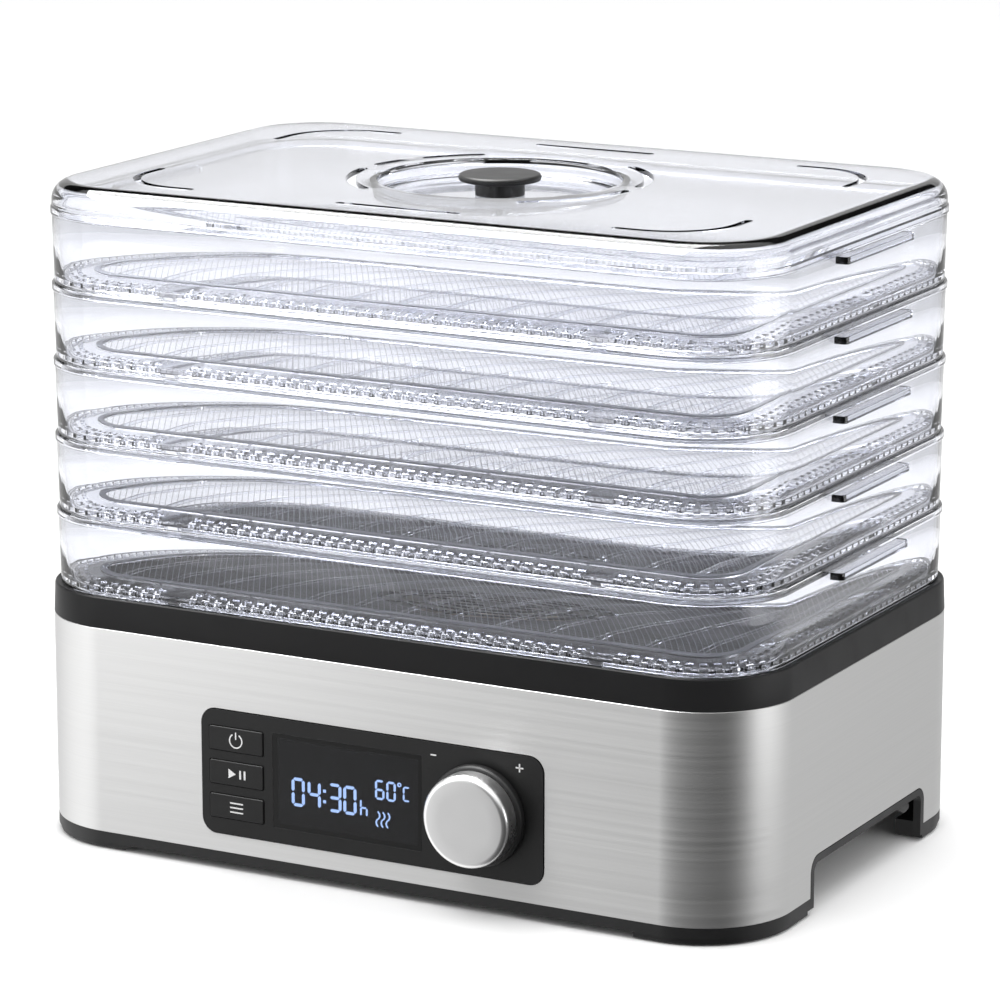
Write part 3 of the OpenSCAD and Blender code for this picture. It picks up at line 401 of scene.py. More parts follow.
def brushed(name, low, high, rough, stretch, aniso=0.75):
    """Metal with fine parallel scratches. stretch is small along the scratches."""
    m = Nodes(name)
    fine = m.noise(1.0, 3.0, stretch)
    broad = m.noise(1.0, 2.0, tuple(s * 0.16 for s in stretch))
    m.link(m.blend(m.to_range(fine, 0, 1, 0.25, 0.75), low, high), m.shader.inputs["Base Color"])
    m.link(m.to_range(broad, rough - 0.02, rough + 0.03), m.shader.inputs["Roughness"])
    m.shader.inputs["Metallic"].default_value = 1.0
    m.shader.inputs["Anisotropic"].default_value = aniso
    m.shader.inputs["Anisotropic Rotation"].default_value = 0.25
    tangent = m.add("ShaderNodeTangent", direction_type="RADIAL", axis="Z")
    m.link(tangent.outputs["Tangent"], m.shader.inputs["Tangent"])
    m.bump(fine, 0.0000015, 0.25)
    return m.mat


def clear(name, color, rough=0.03, ripple=0.00004):
    """Clear moulded plastic with the faint flow ripple of an injection moulding."""
    m = Nodes(name)
    m.link(m.blend(m.noise(6.0, 2.0), tint(color, 0.992), color), m.shader.inputs["Base Color"])
    m.link(m.to_range(m.noise(30.0, 3.0), rough - 0.01, rough + 0.02), m.shader.inputs["Roughness"])
    m.shader.inputs["Transmission Weight"].default_value = 1.0
    m.shader.inputs["IOR"].default_value = 1.49
    m.bump(m.noise(14.0, 1.0), ripple, 0.5)
    return m.mat


def lit(name, color, strength):
    """A surface that glows."""
    m = Nodes(name)
    m.link(m.blend(m.noise(200.0, 2.0), tint(color, 0.93), color), m.shader.inputs["Base Color"])
    m.shader.inputs["Emission Color"].default_value = (*color, 1)
    m.shader.inputs["Emission Strength"].default_value = strength
    m.shader.inputs["Roughness"].default_value = 0.5
    return m.mat


STEEL = brushed("brushed_steel", (0.655, 0.655, 0.652), (0.69, 0.69, 0.687), 0.40, (14.0, 14.0, 4200.0),
                0.6)
BLACK = plain("black_plastic", (0.008, 0.008, 0.0085), 0.45, grain=1600.0, depth=0.000012)
BAND = plain("band_plastic", (0.013, 0.013, 0.0135), 0.34, grain=1800.0, depth=0.000008,
             Specular_IOR_Level=0.12)
FASCIA = plain("fascia_plastic", (0.008, 0.008, 0.0082), 0.42, grain=2200.0, depth=0.000008,
               Specular_IOR_Level=0.38)
BUTTON = plain("button_plastic", (0.007, 0.007, 0.0072), 0.45, grain=2200.0, depth=0.000008,
               Specular_IOR_Level=0.4)
SYMBOL = plain("printed_symbol", (0.72, 0.72, 0.72), 0.6, depth=0)
KNOB = plain("satin_silver", (0.93, 0.93, 0.93), 0.30, metal=1.0, grain=3000.0, depth=0.000004, vary=0.02,
             wear=0.03)
CLEAR = clear("clear_plastic", (0.925, 0.935, 0.975), 0.02, 0.00002)
SMOKED = clear("smoked_glass", (0.10, 0.105, 0.12), 0.05, 0.0)
DIGITS = lit("lit_segments", (0.50, 0.68, 1.0), 9.0)
DISPLAY = plain("display_body", (0.006, 0.007, 0.010), 0.6, depth=0)
NET = plain("net_plastic", (0.24, 0.245, 0.27), 0.5, depth=0, vary=0.15, Specular_IOR_Level=0.25)
RUBBER = plain("rubber", (0.025, 0.025, 0.025), 0.8, grain=700.0, depth=0.00003)
ZINC = plain("zinc_steel", (0.62, 0.62, 0.60), 0.32, metal=1.0, grain=500.0, depth=0.000006)
SHEET = brushed("duct_sheet", (0.50, 0.50, 0.49), (0.62, 0.62, 0.60), 0.38, (40.0, 40.0, 900.0), 0.4)
MOTOR = plain("motor_steel", (0.16, 0.16, 0.165), 0.4, metal=0.6, grain=400.0, depth=0.00002)
IVORY = plain("ivory_plastic", (0.70, 0.68, 0.60), 0.4)
MICA = plain("mica", (0.56, 0.49, 0.37), 0.55, grain=300.0, depth=0.00006, vary=0.3)
WIRE = plain("heater_wire", (0.36, 0.31, 0.27), 0.4, metal=1.0, vary=0.3)
CERAMIC = plain("ceramic", (0.72, 0.70, 0.64), 0.25)
BOARD = plain("circuit_board", (0.015, 0.12, 0.05), 0.3, grain=260.0, depth=0.00003, vary=0.2)
COMPONENT = plain("component_plastic", (0.05, 0.05, 0.06), 0.35)

SLOT_MATERIALS = {
    "brushed_steel": STEEL, "black_plastic": BLACK, "charcoal_plastic": BAND, "fascia_plastic": FASCIA,
    "button_plastic": BUTTON, "display_glass": SMOKED, "display_body": DISPLAY, "display_light": DIGITS,
    "satin_silver": KNOB, "clear_plastic": CLEAR, "net_plastic": NET, "rubber": RUBBER, "zinc_steel": ZINC,
    "duct_sheet": SHEET, "motor_steel": MOTOR, "ivory_plastic": IVORY, "mica": MICA, "heater_wire": WIRE,
    "ceramic": CERAMIC, "circuit_board": BOARD, "component_plastic": COMPONENT,
}
for part in frame["record"]["subparts"]:
    node = frame["nodes"][part["node"]]
    node.data.materials.clear()
    node.data.materials.append(SLOT_MATERIALS[part["material_slot"]])

# ---- base --------------------------------------------------------------------------

PANEL_LO, PANEL_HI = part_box("control_fascia")
PANEL_W = (PANEL_HI.x - PANEL_LO.x) / MM
PANEL_H = (PANEL_HI.z - PANEL_LO.z) / MM
PANEL_Z = (PANEL_HI.z + PANEL_LO.z) / 2 / MM
PANEL_FRONT = PANEL_LO.y / MM
PANEL_R = 6.5
UNDER_H, LINING, GAP = 21.0, 3.0, 0.3           # height under the base, its lining, the gap round it
CUT_W, CUT_BACK, CUT_R = 107.0, 4.5, 3.5        # the side cut-outs: width, place and corner radius
GLAND_HOLE_R, BUSH_HOLE_R = 6.4, 4.8

sleeve = sweep("steel_sleeve", [
    (-0.15, STEEL_Z0), (0.0, STEEL_Z0 + 0.15), (0.0, STEEL_Z1 - 0.15), (-0.15, STEEL_Z1),
    (-0.65, STEEL_Z1), (-0.8, STEEL_Z1 - 0.15), (-0.8, STEEL_Z0 + 0.15), (-0.65, STEEL_Z0)],
    BODY_W, BODY_D, CORNER_R, arc=32, nx=10, ny=8)
grow = LINING + GAP
panel_hole = rounded(PANEL_W + 2 * GAP, PANEL_H + 2 * GAP, PANEL_R + GAP, 0, PANEL_Z)
cutters = [front_prism("cut_panel", panel_hole, FRONT - 6, FRONT + 6)]
for side in (-1, 1):
    outline = rounded(CUT_W + 2 * grow, 2 * (UNDER_H + grow), CUT_R + grow, MID_Y + CUT_BACK, 0.0, 10)
    n = len(outline)
    x_in, x_out = side * BODY_W / 2 - 20, side * BODY_W / 2 + 20
    cutters.append(add_object("cut_side",
                              [(x_in, y, z) for y, z in outline] + [(x_out, y, z) for y, z in outline],
                              [tuple(range(n)), tuple(range(n, 2 * n))[::-1]]
                              + [(i, n + i, n + (i + 1) % n, (i + 1) % n) for i in range(n)]))
gland_lo, gland_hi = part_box("cord_gland")
gx, gz = (gland_lo.x + gland_hi.x) / 2 / MM, (gland_lo.z + gland_hi.z) / 2 / MM
cutters.append(front_prism("cut_gland", disc(gx, gz, GLAND_HOLE_R, 32),
                           steel_hi.y / MM - 4, steel_hi.y / MM + 4))
cut(sleeve, cutters)
soften(sleeve, 0.18, 50.0, 2)
finish_piece(sleeve, STEEL, "brushed_steel", "base", "steel_housing")

# The band and the deck inside it, as one moulding
DECK_TOP = STACK_Z - 6.5
DECK_UNDER = DECK_TOP - 3.0
OUTLET_R, SEAT_R, SEAT_STEP_R = 50.0, 53.0, 56.0
band_st = stations(BODY_W, BODY_D, CORNER_R, 32, 24, 16)
band_profile = [(-0.2, STEEL_Z1 + 0.05), (0.0, STEEL_Z1 + 0.3),
                (-0.5, STACK_Z - 1.1), (-0.7, STACK_Z - 0.45),
                (-1.3, STACK_Z), (-4.0, STACK_Z), (-4.35, STACK_Z - 0.15), (-4.5, STACK_Z - 0.5),
                (-4.5, DECK_TOP + 1.0), (-4.8, DECK_TOP + 0.3), (-5.5, DECK_TOP)]
loops = [ring(band_st, u, z) for u, z in band_profile]
outlet = ((SEAT_STEP_R, DECK_TOP), (SEAT_R, DECK_TOP), (SEAT_R, DECK_TOP - 1.5),
          (OUTLET_R, DECK_TOP - 1.5), (OUTLET_R, DECK_UNDER), (SEAT_STEP_R, DECK_UNDER))
loops += [circle_ring(band_st, r, z) for r, z in outlet]
loops += [ring(band_st, -5.5, DECK_UNDER), ring(band_st, -4.5, STEEL_Z1 + 0.05)]
band = loft("top_band", loops)
finish_piece(band, BAND, "charcoal_plastic", "base", "top_deck")
softened("bottom_chassis", 0.35, BLACK, "black_plastic", "base")
softened("rubber_feet", 0.3, RUBBER, "rubber", "base")
softened("cord_gland", 0.3, BLACK, "black_plastic", "base")
softened("air_outlet_grille", 0.3, BLACK, "black_plastic", "base")

# ---- control panel -------------------------------------------------------------------

WIN_LO, WIN_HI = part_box("display_window")
WIN_X, WIN_Z = (WIN_LO.x + WIN_HI.x) / 2 / MM, (WIN_LO.z + WIN_HI.z) / 2 / MM
WIN_W, WIN_H = (WIN_HI.x - WIN_LO.x) / MM, (WIN_HI.z - WIN_LO.z) / MM
PANEL_T, WIN_T, WIN_R, WIN_LEDGE = 3.9, 1.2, 0.8, 2.0
PANEL_CUT_IN, PANEL_CUT_OUT = PANEL_FRONT - 2, PANEL_FRONT + 8
fascia = front_prism("panel_fascia", rounded(PANEL_W, PANEL_H, PANEL_R, 0, PANEL_Z, 12),
                     PANEL_FRONT, PANEL_FRONT + PANEL_T)
BUTTONS = {}
for node_name in ("button_power", "button_play_pause", "button_menu"):
    lo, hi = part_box(node_name)
    BUTTONS[node_name] = ((lo.x + hi.x) / 2 / MM, (lo.z + hi.z) / 2 / MM, lo.y / MM)
window_outline = rounded(WIN_W, WIN_H, WIN_R, WIN_X, WIN_Z)
window_opening = rounded(WIN_W - 2 * WIN_LEDGE, WIN_H - 2 * WIN_LEDGE, WIN_R, WIN_X, WIN_Z)
cutters = [front_prism("cut_window", window_outline, PANEL_CUT_IN, PANEL_FRONT + WIN_T),
           front_prism("cut_window_through", window_opening, PANEL_FRONT - 3, PANEL_CUT_OUT)]
BUTTON_W, BUTTON_H = 25.4, 10.0
for bx, bz, _ in BUTTONS.values():
    cutters.append(front_prism("cut_button", rounded(BUTTON_W + 2 * GAP, BUTTON_H + 2 * GAP, 1.1, bx, bz),
                               PANEL_CUT_IN, PANEL_CUT_OUT))
KNOB_LO, KNOB_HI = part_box("knob_cap")
KX, KZ = (KNOB_LO.x + KNOB_HI.x) / 2 / MM, (KNOB_LO.z + KNOB_HI.z) / 2 / MM
KNOB_R = (KNOB_HI.x - KNOB_LO.x) / 2 / MM
cutters.append(front_prism("cut_bush", disc(KX, KZ, BUSH_HOLE_R, 48), PANEL_CUT_IN, PANEL_CUT_OUT))
cut(fascia, cutters)
soften(fascia, 0.35, 50.0, 3)
finish_piece(fascia, FASCIA, "fascia_plastic", "base", "control_fascia")

window = front_prism("smoked_window", window_outline, PANEL_FRONT + 0.02, PANEL_FRONT + WIN_T)
soften(window, 0.12, 50.0, 2)
finish_piece(window, SMOKED, "display_glass", "base", "display_window")

BUTTON_BODIES = {"button_power": "power_button", "button_play_pause": "play_pause_button",
                 "button_menu": "menu_button"}
for node_name, (bx, bz, by) in BUTTONS.items():
    cap = front_prism(node_name + "_cap", rounded(BUTTON_W, BUTTON_H, 0.8, bx, bz), by, PANEL_FRONT + 5.4)
    soften(cap, 0.4, 50.0, 3)
    finish_piece(cap, BUTTON, "button_plastic", BUTTON_BODIES[node_name], node_name)


def printed(name, outlines, y_at, body):
    """Flat marks a few hundredths of a millimetre proud of the surface."""
    parts = [front_prism(name + "_part", outline, y_at - 0.04, y_at + 0.05) for outline in outlines]
    obj = join(name, parts)
    return finish_piece(obj, SYMBOL, "button_plastic", body)


bx, bz, by = BUTTONS["button_power"]
POWER_R, STROKE = 2.9, 0.55
arc_path = [(bx + POWER_R * math.cos(math.radians(a)), bz - 0.2 + POWER_R * math.sin(math.radians(a)))
            for a in range(125, 416, 10)]
printed("power_symbol", [ribbon(arc_path, STROKE), ribbon([(bx, bz + 0.6), (bx, bz + 3.2)], STROKE)],
        by, "power_button")
bx, bz, by = BUTTONS["button_play_pause"]
printed("play_pause_symbol", [[(bx - 3.6, bz - 2.0), (bx - 0.2, bz), (bx - 3.6, bz + 2.0)],
                              rounded(0.85, 3.7, 0.1, bx + 1.9, bz), rounded(0.85, 3.7, 0.1, bx + 4.0, bz)],
        by, "play_pause_button")
bx, bz, by = BUTTONS["button_menu"]
printed("menu_symbol", [rounded(6.2, 0.6, 0.15, bx, bz + k) for k in (-1.9, 0.0, 1.9)], by, "menu_button")
MINUS_X, PLUS_X, MARK_Z = 29.4, 68.0, 62.6
printed("minus_mark", [rounded(2.6, 0.55, 0.1, MINUS_X, MARK_Z)], PANEL_FRONT, "base")
printed("plus_mark", [rounded(3.4, 0.6, 0.1, PLUS_X, MARK_Z), rounded(0.6, 3.4, 0.1, PLUS_X, MARK_Z)],
        PANEL_FRONT, "base")

# ---- control knob ------------------------------------------------------------------------

skirt_lo, skirt_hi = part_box("knob_skirt")
SKIRT_R = (skirt_hi.x - skirt_lo.x) / 2 / MM
skirt_y, skirt_front = skirt_hi.y / MM, skirt_lo.y / MM
skirt_len = skirt_y - skirt_front
skirt = lathe_y("knob_skirt_ring", [(7.6, 0.0), (SKIRT_R - 0.3, 0.0), (SKIRT_R, 0.3),
                                    (SKIRT_R, skirt_len - 1.2),
                                    (SKIRT_R - 0.25, skirt_len - 0.6), (SKIRT_R - 0.9, skirt_len - 0.1),
                                    (SKIRT_R - 1.4, skirt_len), (3.1, skirt_len), (3.1, skirt_len - 1.0),
                                    (7.6, skirt_len - 1.0)], KX, KZ, skirt_y)
finish_piece(skirt, BLACK, "black_plastic", "control_knob", "knob_skirt")
cap_back, cap_front = KNOB_HI.y / MM, KNOB_LO.y / MM
cap_len = cap_back - cap_front
edge = 2.4
cap_profile = [(3.05, 0.0), (KNOB_R - 0.3, 0.0), (KNOB_R, 0.3), (KNOB_R, cap_len - edge)]
cap_profile += [(KNOB_R - edge + edge * math.cos(math.radians(a)),
                 cap_len - edge + edge * math.sin(math.radians(a))) for a in range(10, 91, 10)]
cap_profile += [(KNOB_R * 0.6, cap_len), (KNOB_R * 0.3, cap_len), (0.02, cap_len), (0.02, cap_len - 3.0),
                (3.05, cap_len - 3.0)]
knob = lathe_y("knob_cap_turned", cap_profile, KX, KZ, cap_back, n=128)
finish_piece(knob, KNOB, "satin_silver", "control_knob", "knob_cap")

# ---- trays --------------------------------------------------------------------------------

SLOT_SHARE = 0.56                               # how much of each step round the tray is a slot
tray_st = stations(TRAY_W, TRAY_D, TRAY_R, 8, 44, 24, SLOT_SHARE)
ROWS = ((-5.0, -7.4), (-9.2, -11.2))            # the two rows of slots, measured in from the outline
NET_EDGE = -17.0
H = TRAY_PITCH
FLOOR_TOP, FLOOR_LOW = 3.0, 1.0
outer = [(-0.75, 0.0), (-0.6, 0.15), (-0.3, 14.0), (-0.02, H - 3.3), (0.1, H - 3.05), (0.4, H - 3.0),
         (0.6, H - 2.75), (0.6, H - 0.45), (0.4, H - 0.12), (0.1, H), (-1.75, H), (-2.0, H - 0.25),
         (-2.3, H / 2), (-2.6, FLOOR_TOP + 0.5), (-2.75, FLOOR_TOP + 0.12), (-3.2, FLOOR_TOP)]
floor_us = [u for row in ROWS for u in row]
top_run = [(u, FLOOR_TOP) for u in floor_us] + [(NET_EDGE, FLOOR_TOP)]
low_run = [(NET_EDGE, FLOOR_LOW)] + [(u, FLOOR_LOW) for u in floor_us[::-1]]
under = [(-4.2, FLOOR_LOW), (-4.2, -2.8), (-4.0, -3.0), (-2.8, -3.0), (-2.6, -2.8), (-2.6, 0.0)]
tray_profile = outer + top_run + low_run + under
PAD_X, PAD_Y, PAD_HALF = (-96.0, 96.0), (12.0,), 5.0   # plain pads that interrupt the slots


def tray_mesh(name):
    """The wall, rim, slotted step and nesting lip of a tray."""
    st = tray_st
    n = len(st)
    loops = [ring(st, u, z) for u, z in tray_profile]
    verts = [p for loop in loops for p in loop]
    faces = []
    index = {p: k for k, p in enumerate(tray_profile)}
    hole_bands = {}
    for a, b in ROWS:
        hole_bands[index[(a, FLOOR_TOP)]] = (a, b)
        hole_bands[index[(b, FLOOR_LOW)]] = (a, b)

    def solid(i):
        x, y, nx, ny = st[i]
        on_long = abs(ny) > 0.99 and any(abs(x - p) < PAD_HALF for p in PAD_X)
        on_short = abs(nx) > 0.99 and any(abs(y - p) < PAD_HALF for p in PAD_Y)
        return i % 2 == 1 or on_long or on_short

    rows = len(loops)
    for j in range(rows):
        jn = (j + 1) % rows
        for i in range(n):
            k = (i + 1) % n
            if j in hole_bands and not solid(i):
                continue
            faces.append((j * n + i, j * n + k, jn * n + k, jn * n + i))
    for a, b in ROWS:
        ta, tb = index[(a, FLOOR_TOP)] * n, index[(b, FLOOR_TOP)] * n
        la, lb = index[(a, FLOOR_LOW)] * n, index[(b, FLOOR_LOW)] * n
        for i in range(n):
            if solid(i):
                continue
            k = (i + 1) % n
            faces += [(ta + i, ta + k, la + k, la + i), (tb + k, tb + i, lb + i, lb + k),
                      (ta + i, la + i, lb + i, tb + i), (ta + k, tb + k, lb + k, la + k)]
    return add_object(name, verts, faces, 30.0)


def box_mesh(name, x0, x1, y0, y1, z0, z1):
    return prism(name, [(x0, y0), (x1, y0), (x1, y1), (x0, y1)], z0, z1)


def tray_grip(side):
    """A ledge with rounded ends, just under the rim."""
    z1, z0 = H - 3.0, H - 6.0
    wall = TRAY_W / 2 - 0.25
    tip = TRAY_W / 2 + 5.5
    half = 33.0
    r = 2.2
    turn = [math.radians(a) for a in range(0, 91, 15)]
    outline = [(wall, -half)]
    outline += [(tip - r + r * math.sin(a), -half + r - r * math.cos(a)) for a in turn]
    outline += [(tip - r + r * math.cos(a), half - r + r * math.sin(a)) for a in turn]
    outline += [(wall, half)]
    outline = [(side * x, y + MID_Y) for x, y in outline]
    grip = prism("grip_part", outline, z0, z1)
    return soften(grip, 0.35, 50.0, 2)


NET_W, NET_D, NET_R = TRAY_W + 2 * NET_EDGE, TRAY_D + 2 * NET_EDGE, TRAY_R + NET_EDGE
tray_parts = [tray_mesh("tray_part")]
RIB_PITCH, RIB_HALF, RIB_LOW, RIB_TOP = 21.9, 0.7, 1.1, 2.7
rib_end = NET_D / 2 + 0.2
for k in range(-6, 7):
    cx = k * RIB_PITCH
    tray_parts.append(box_mesh("rib_part", cx - RIB_HALF, cx + RIB_HALF, MID_Y - rib_end, MID_Y + rib_end,
                               RIB_LOW, RIB_TOP))
for side in (-1, 1):
    tray_parts.append(tray_grip(side))
tray_master = join("tray_1_clear", tray_parts, 30.0)


def clip_to(outline, px, py, dx, dy):
    """Where an endless line crosses a convex outline."""
    hits = []
    n = len(outline)
    for i in range(n):
        ax, ay = outline[i]
        next_x, next_y = outline[(i + 1) % n]
        ex, ey = next_x - ax, next_y - ay
        den = dx * ey - dy * ex
        if abs(den) < 1e-9:
            continue
        t = ((ax - px) * ey - (ay - py) * ex) / den
        s = ((ax - px) * dy - (ay - py) * dx) / den
        if 0 <= s < 1:
            hits.append(t)
    return (min(hits), max(hits)) if len(hits) > 1 else None


def net_mesh(name):
    """A fine net of two crossing layers of strands in a flat border."""
    outline = rounded(NET_W - 5.0, NET_D - 5.0, NET_R - 2.5, 0.0, 0.0, 12)
    verts, faces = [], []
    pitch, half, thick = 2.42, 0.14, 0.05
    for angle, z0 in ((60.0, FLOOR_TOP + 0.12), (-60.0, FLOOR_TOP + 0.18)):
        a = math.radians(angle)
        dx, dy = math.cos(a), math.sin(a)
        reach = (NET_W + NET_D) / 2
        count = int(reach / pitch)
        for k in range(-count, count + 1):
            px, py = -dy * k * pitch, dx * k * pitch
            span = clip_to(outline, px, py, dx, dy)
            if span is None or span[1] - span[0] < 2:
                continue
            base = len(verts)
            for t in (span[0] - 0.4, span[1] + 0.4):
                for off, z in ((-half, z0), (half, z0), (half * 0.6, z0 + thick),
                               (-half * 0.6, z0 + thick)):
                    verts.append((px + dx * t - dy * off, py + dy * t + dx * off + MID_Y, z))
            q = base
            faces += [(q, q + 1, q + 5, q + 4), (q + 1, q + 2, q + 6, q + 5), (q + 2, q + 3, q + 7, q + 6),
                      (q + 3, q, q + 4, q + 7), (q, q + 3, q + 2, q + 1), (q + 4, q + 5, q + 6, q + 7)]
    strands = add_object(name + "_strands", verts, faces, 50.0)
    profile = [(-0.3, FLOOR_TOP + 0.02), (0.0, FLOOR_TOP + 0.3), (-0.1, FLOOR_TOP + 0.8),
               (-0.4, FLOOR_TOP + 0.9), (-2.6, FLOOR_TOP + 0.9), (-3.0, FLOOR_TOP + 0.7),
               (-3.0, FLOOR_TOP + 0.02)]
    border = sweep(name + "_border", profile, NET_W, NET_D, NET_R, arc=10, nx=20, ny=14)
    return join(name, [strands, border], 50.0)


net_master = net_mesh("tray_1_fine_net")


def copy_up(obj, name, z):
    """A copy of a piece raised by z mm, with its place in its mesh."""
    mesh = obj.data.copy()
    mesh.transform(Matrix.Translation((0, 0, z * MM)))
    new = bpy.data.objects.new(name, mesh)
    bpy.context.scene.collection.objects.link(new)
    return new


for number in range(1, TRAY_COUNT + 1):
    height = STACK_Z + (number - 1) * TRAY_PITCH
    body = f"tray_{number}"
    clear_part = copy_up(tray_master, f"tray_{number}_clear_frame", height)
    finish_piece(clear_part, CLEAR, "clear_plastic", body, f"tray_{number}_frame")
    net_part = copy_up(net_master, f"tray_{number}_drying_net", height)
    finish_piece(net_part, NET, "net_plastic", body, f"tray_{number}_net")
discard((tray_master, net_master))

# ---- lid --------------------------------------------------------------------------------------

lid_st = stations(TRAY_W, TRAY_D, TRAY_R, 20, 40, 28)
DISH_DEPTH, LID_T, EDGE_R, INNER_EDGE_R = 7.0, 2.2, 8.0, 3.5
floor_z = LID_H - DISH_DEPTH
top_z = LID_H


def lid_loop(kind, u, z):
    """A loop of the lid: "c" for a circle of radius u, "u" for the outline moved outward by u."""
    return circle_ring(lid_st, u, LID_Z + z) if kind == "c" else ring(lid_st, u, LID_Z + z)


upper = [("c", 2.3, floor_z), ("c", 20.0, floor_z), ("c", 46.5, floor_z), ("c", 48.6, floor_z + 0.35),
         ("c", 49.6, floor_z + 1.3), ("c", 49.9, floor_z + 2.4), ("c", 50.1, top_z - 1.3),
         ("c", 50.5, top_z - 0.45), ("c", 51.2, top_z - 0.08), ("c", 52.2, top_z), ("u", -13.0, top_z),
         ("u", -EDGE_R - 1.0, top_z)]
upper += [("u", -EDGE_R + EDGE_R * math.sin(math.radians(a)),
           top_z - EDGE_R + EDGE_R * math.cos(math.radians(a))) for a in range(0, 91, 9)]
upper += [("u", 0.0, 0.3), ("u", -0.3, 0.0)]
lower = [("u", -2.6, 0.0), ("u", -2.6, -2.8), ("u", -2.8, -3.0), ("u", -4.0, -3.0), ("u", -4.2, -2.8),
         ("u", -4.2, 1.4), ("u", -4.0, 1.6), ("u", -2.45, 1.6), ("u", -2.2, 1.85)]
lower += [("u", -LID_T - INNER_EDGE_R + INNER_EDGE_R * math.cos(math.radians(a)),
           top_z - LID_T - INNER_EDGE_R + INNER_EDGE_R * math.sin(math.radians(a))) for a in range(0, 91, 15)]
lower += [("u", -13.0, top_z - LID_T), ("c", 53.6, top_z - LID_T), ("c", 52.5, top_z - LID_T - 0.35),
          ("c", 52.2, top_z - LID_T - 1.2), ("c", 52.1, floor_z - 0.6), ("c", 51.6, floor_z - 1.7),
          ("c", 50.4, floor_z - LID_T), ("c", 20.0, floor_z - LID_T), ("c", 2.3, floor_z - LID_T)]
lid = loft("lid_clear_moulding", [lid_loop(*p) for p in upper + lower])

VENT_W, ARC_R = 3.4, 61.0
VENT_X, VENT_Y = TRAY_W / 2 - 31.0, TRAY_D / 2 - 22.5
STRAIGHT_HALF = 26.3
vents = [ribbon([(-STRAIGHT_HALF, s * VENT_Y), (STRAIGHT_HALF, s * VENT_Y)], VENT_W) for s in (-1, 1)]
for mid in (30, 150, 210, 330):
    vents.append(ribbon([(ARC_R * math.cos(math.radians(mid + a)), ARC_R * math.sin(math.radians(mid + a)))
                         for a in range(-24, 25, 3)], VENT_W + 0.8))
leg_x, leg_y, bend = TRAY_W / 2 - 69.0, TRAY_D / 2 - 61.0, 28.0
for sx in (-1, 1):
    for sy in (-1, 1):
        path = [(sx * leg_x, sy * VENT_Y), (sx * (VENT_X - bend - 3), sy * VENT_Y)]
        path += [(sx * (VENT_X - bend + bend * math.sin(math.radians(a))),
                  sy * (VENT_Y - bend + bend * math.cos(math.radians(a)))) for a in range(0, 91, 10)]
        path += [(sx * VENT_X, sy * (VENT_Y - bend - 3)), (sx * VENT_X, sy * leg_y)]
        vents.append(ribbon(path, VENT_W))
cutters = [prism("cut_vent", [(x, y + MID_Y) for x, y in v], LID_TOP - 5, LID_TOP + 5) for v in vents]
cut(lid, cutters)
soften(lid, 0.45, 55.0, 2)
finish_piece(lid, CLEAR, "clear_plastic", "lid", "lid")

knob_lo, knob_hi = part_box("lid_knob")
LK_Z0, LK_Z1 = knob_lo.z / MM, knob_hi.z / MM
LK_R = (knob_hi.x - knob_lo.x) / 2 / MM
DISC = 2.8
lid_knob = lathe_z("lid_knob_turned", [
    (1.7, LK_Z0 + 0.02), (10.2, LK_Z0 + 0.02), (10.2, LK_Z1 - DISC - 0.4), (10.6, LK_Z1 - DISC),
    (LK_R - 0.9, LK_Z1 - DISC), (LK_R - 0.3, LK_Z1 - DISC + 0.25), (LK_R, LK_Z1 - DISC + 0.8),
    (LK_R, LK_Z1 - 0.9), (LK_R - 0.3, LK_Z1 - 0.35), (LK_R - 0.9, LK_Z1 - 0.05), (LK_R - 1.6, LK_Z1),
    (LK_R * 0.5, LK_Z1), (0.02, LK_Z1), (0.02, LK_Z1 - 3.0), (1.7, LK_Z1 - 3.0)], 0.0, MID_Y, n=96)
finish_piece(lid_knob, BLACK, "black_plastic", "lid", "lid_knob")

# ---- studio ---------------------------------------------------------------------------------------

FLOOR_HALF = 20.0
floor_mesh = bpy.data.meshes.new("floor")
floor_mesh.from_pydata([(-FLOOR_HALF, -FLOOR_HALF, 0), (FLOOR_HALF, -FLOOR_HALF, 0),
                        (FLOOR_HALF, FLOOR_HALF, 0), (-FLOOR_HALF, FLOOR_HALF, 0)], [], [(0, 1, 2, 3)])
floor = bpy.data.objects.new("floor", floor_mesh)
bpy.context.scene.collection.objects.link(floor)
paper = Nodes("white_paper")
paper.link(paper.blend(paper.noise(3.0, 2.0), (0.93, 0.93, 0.93), (0.95, 0.95, 0.95)),
           paper.shader.inputs["Base Color"])
paper.shader.inputs["Roughness"].default_value = 0.9
paper.shader.inputs["Specular IOR Level"].default_value = 0.0
floor.data.materials.append(paper.mat)
floor.visible_glossy = False


def area_light(name, location, look_at, size, energy):
    data = bpy.data.lights.new(name, "AREA")
    data.shape = "RECTANGLE"
    data.size, data.size_y = size
    data.energy = energy
    obj = bpy.data.objects.new(name, data)
    obj.location = location
    direction = Vector(look_at) - Vector(location)
    obj.rotation_euler = direction.to_track_quat("-Z", "Y").to_euler()
    obj.visible_camera = False
    bpy.context.scene.collection.objects.link(obj)
    return obj


area_light("overhead", (0.0, 0.0, 2.2), (0, 0, 0), (2.4, 2.4), 26.0).visible_glossy = False


def light_row(name, spans, height, z, place, aim):
    """A row of upright panels side by side, each with its own brightness, for a graded glow."""
    for k, (start, end, level) in enumerate(spans):
        mid, length = (start + end) / 2, end - start
        area_light(f"{name}_{k}", place(mid, z), aim(mid, z), (length, height),
                   math.pi * level * length * height)


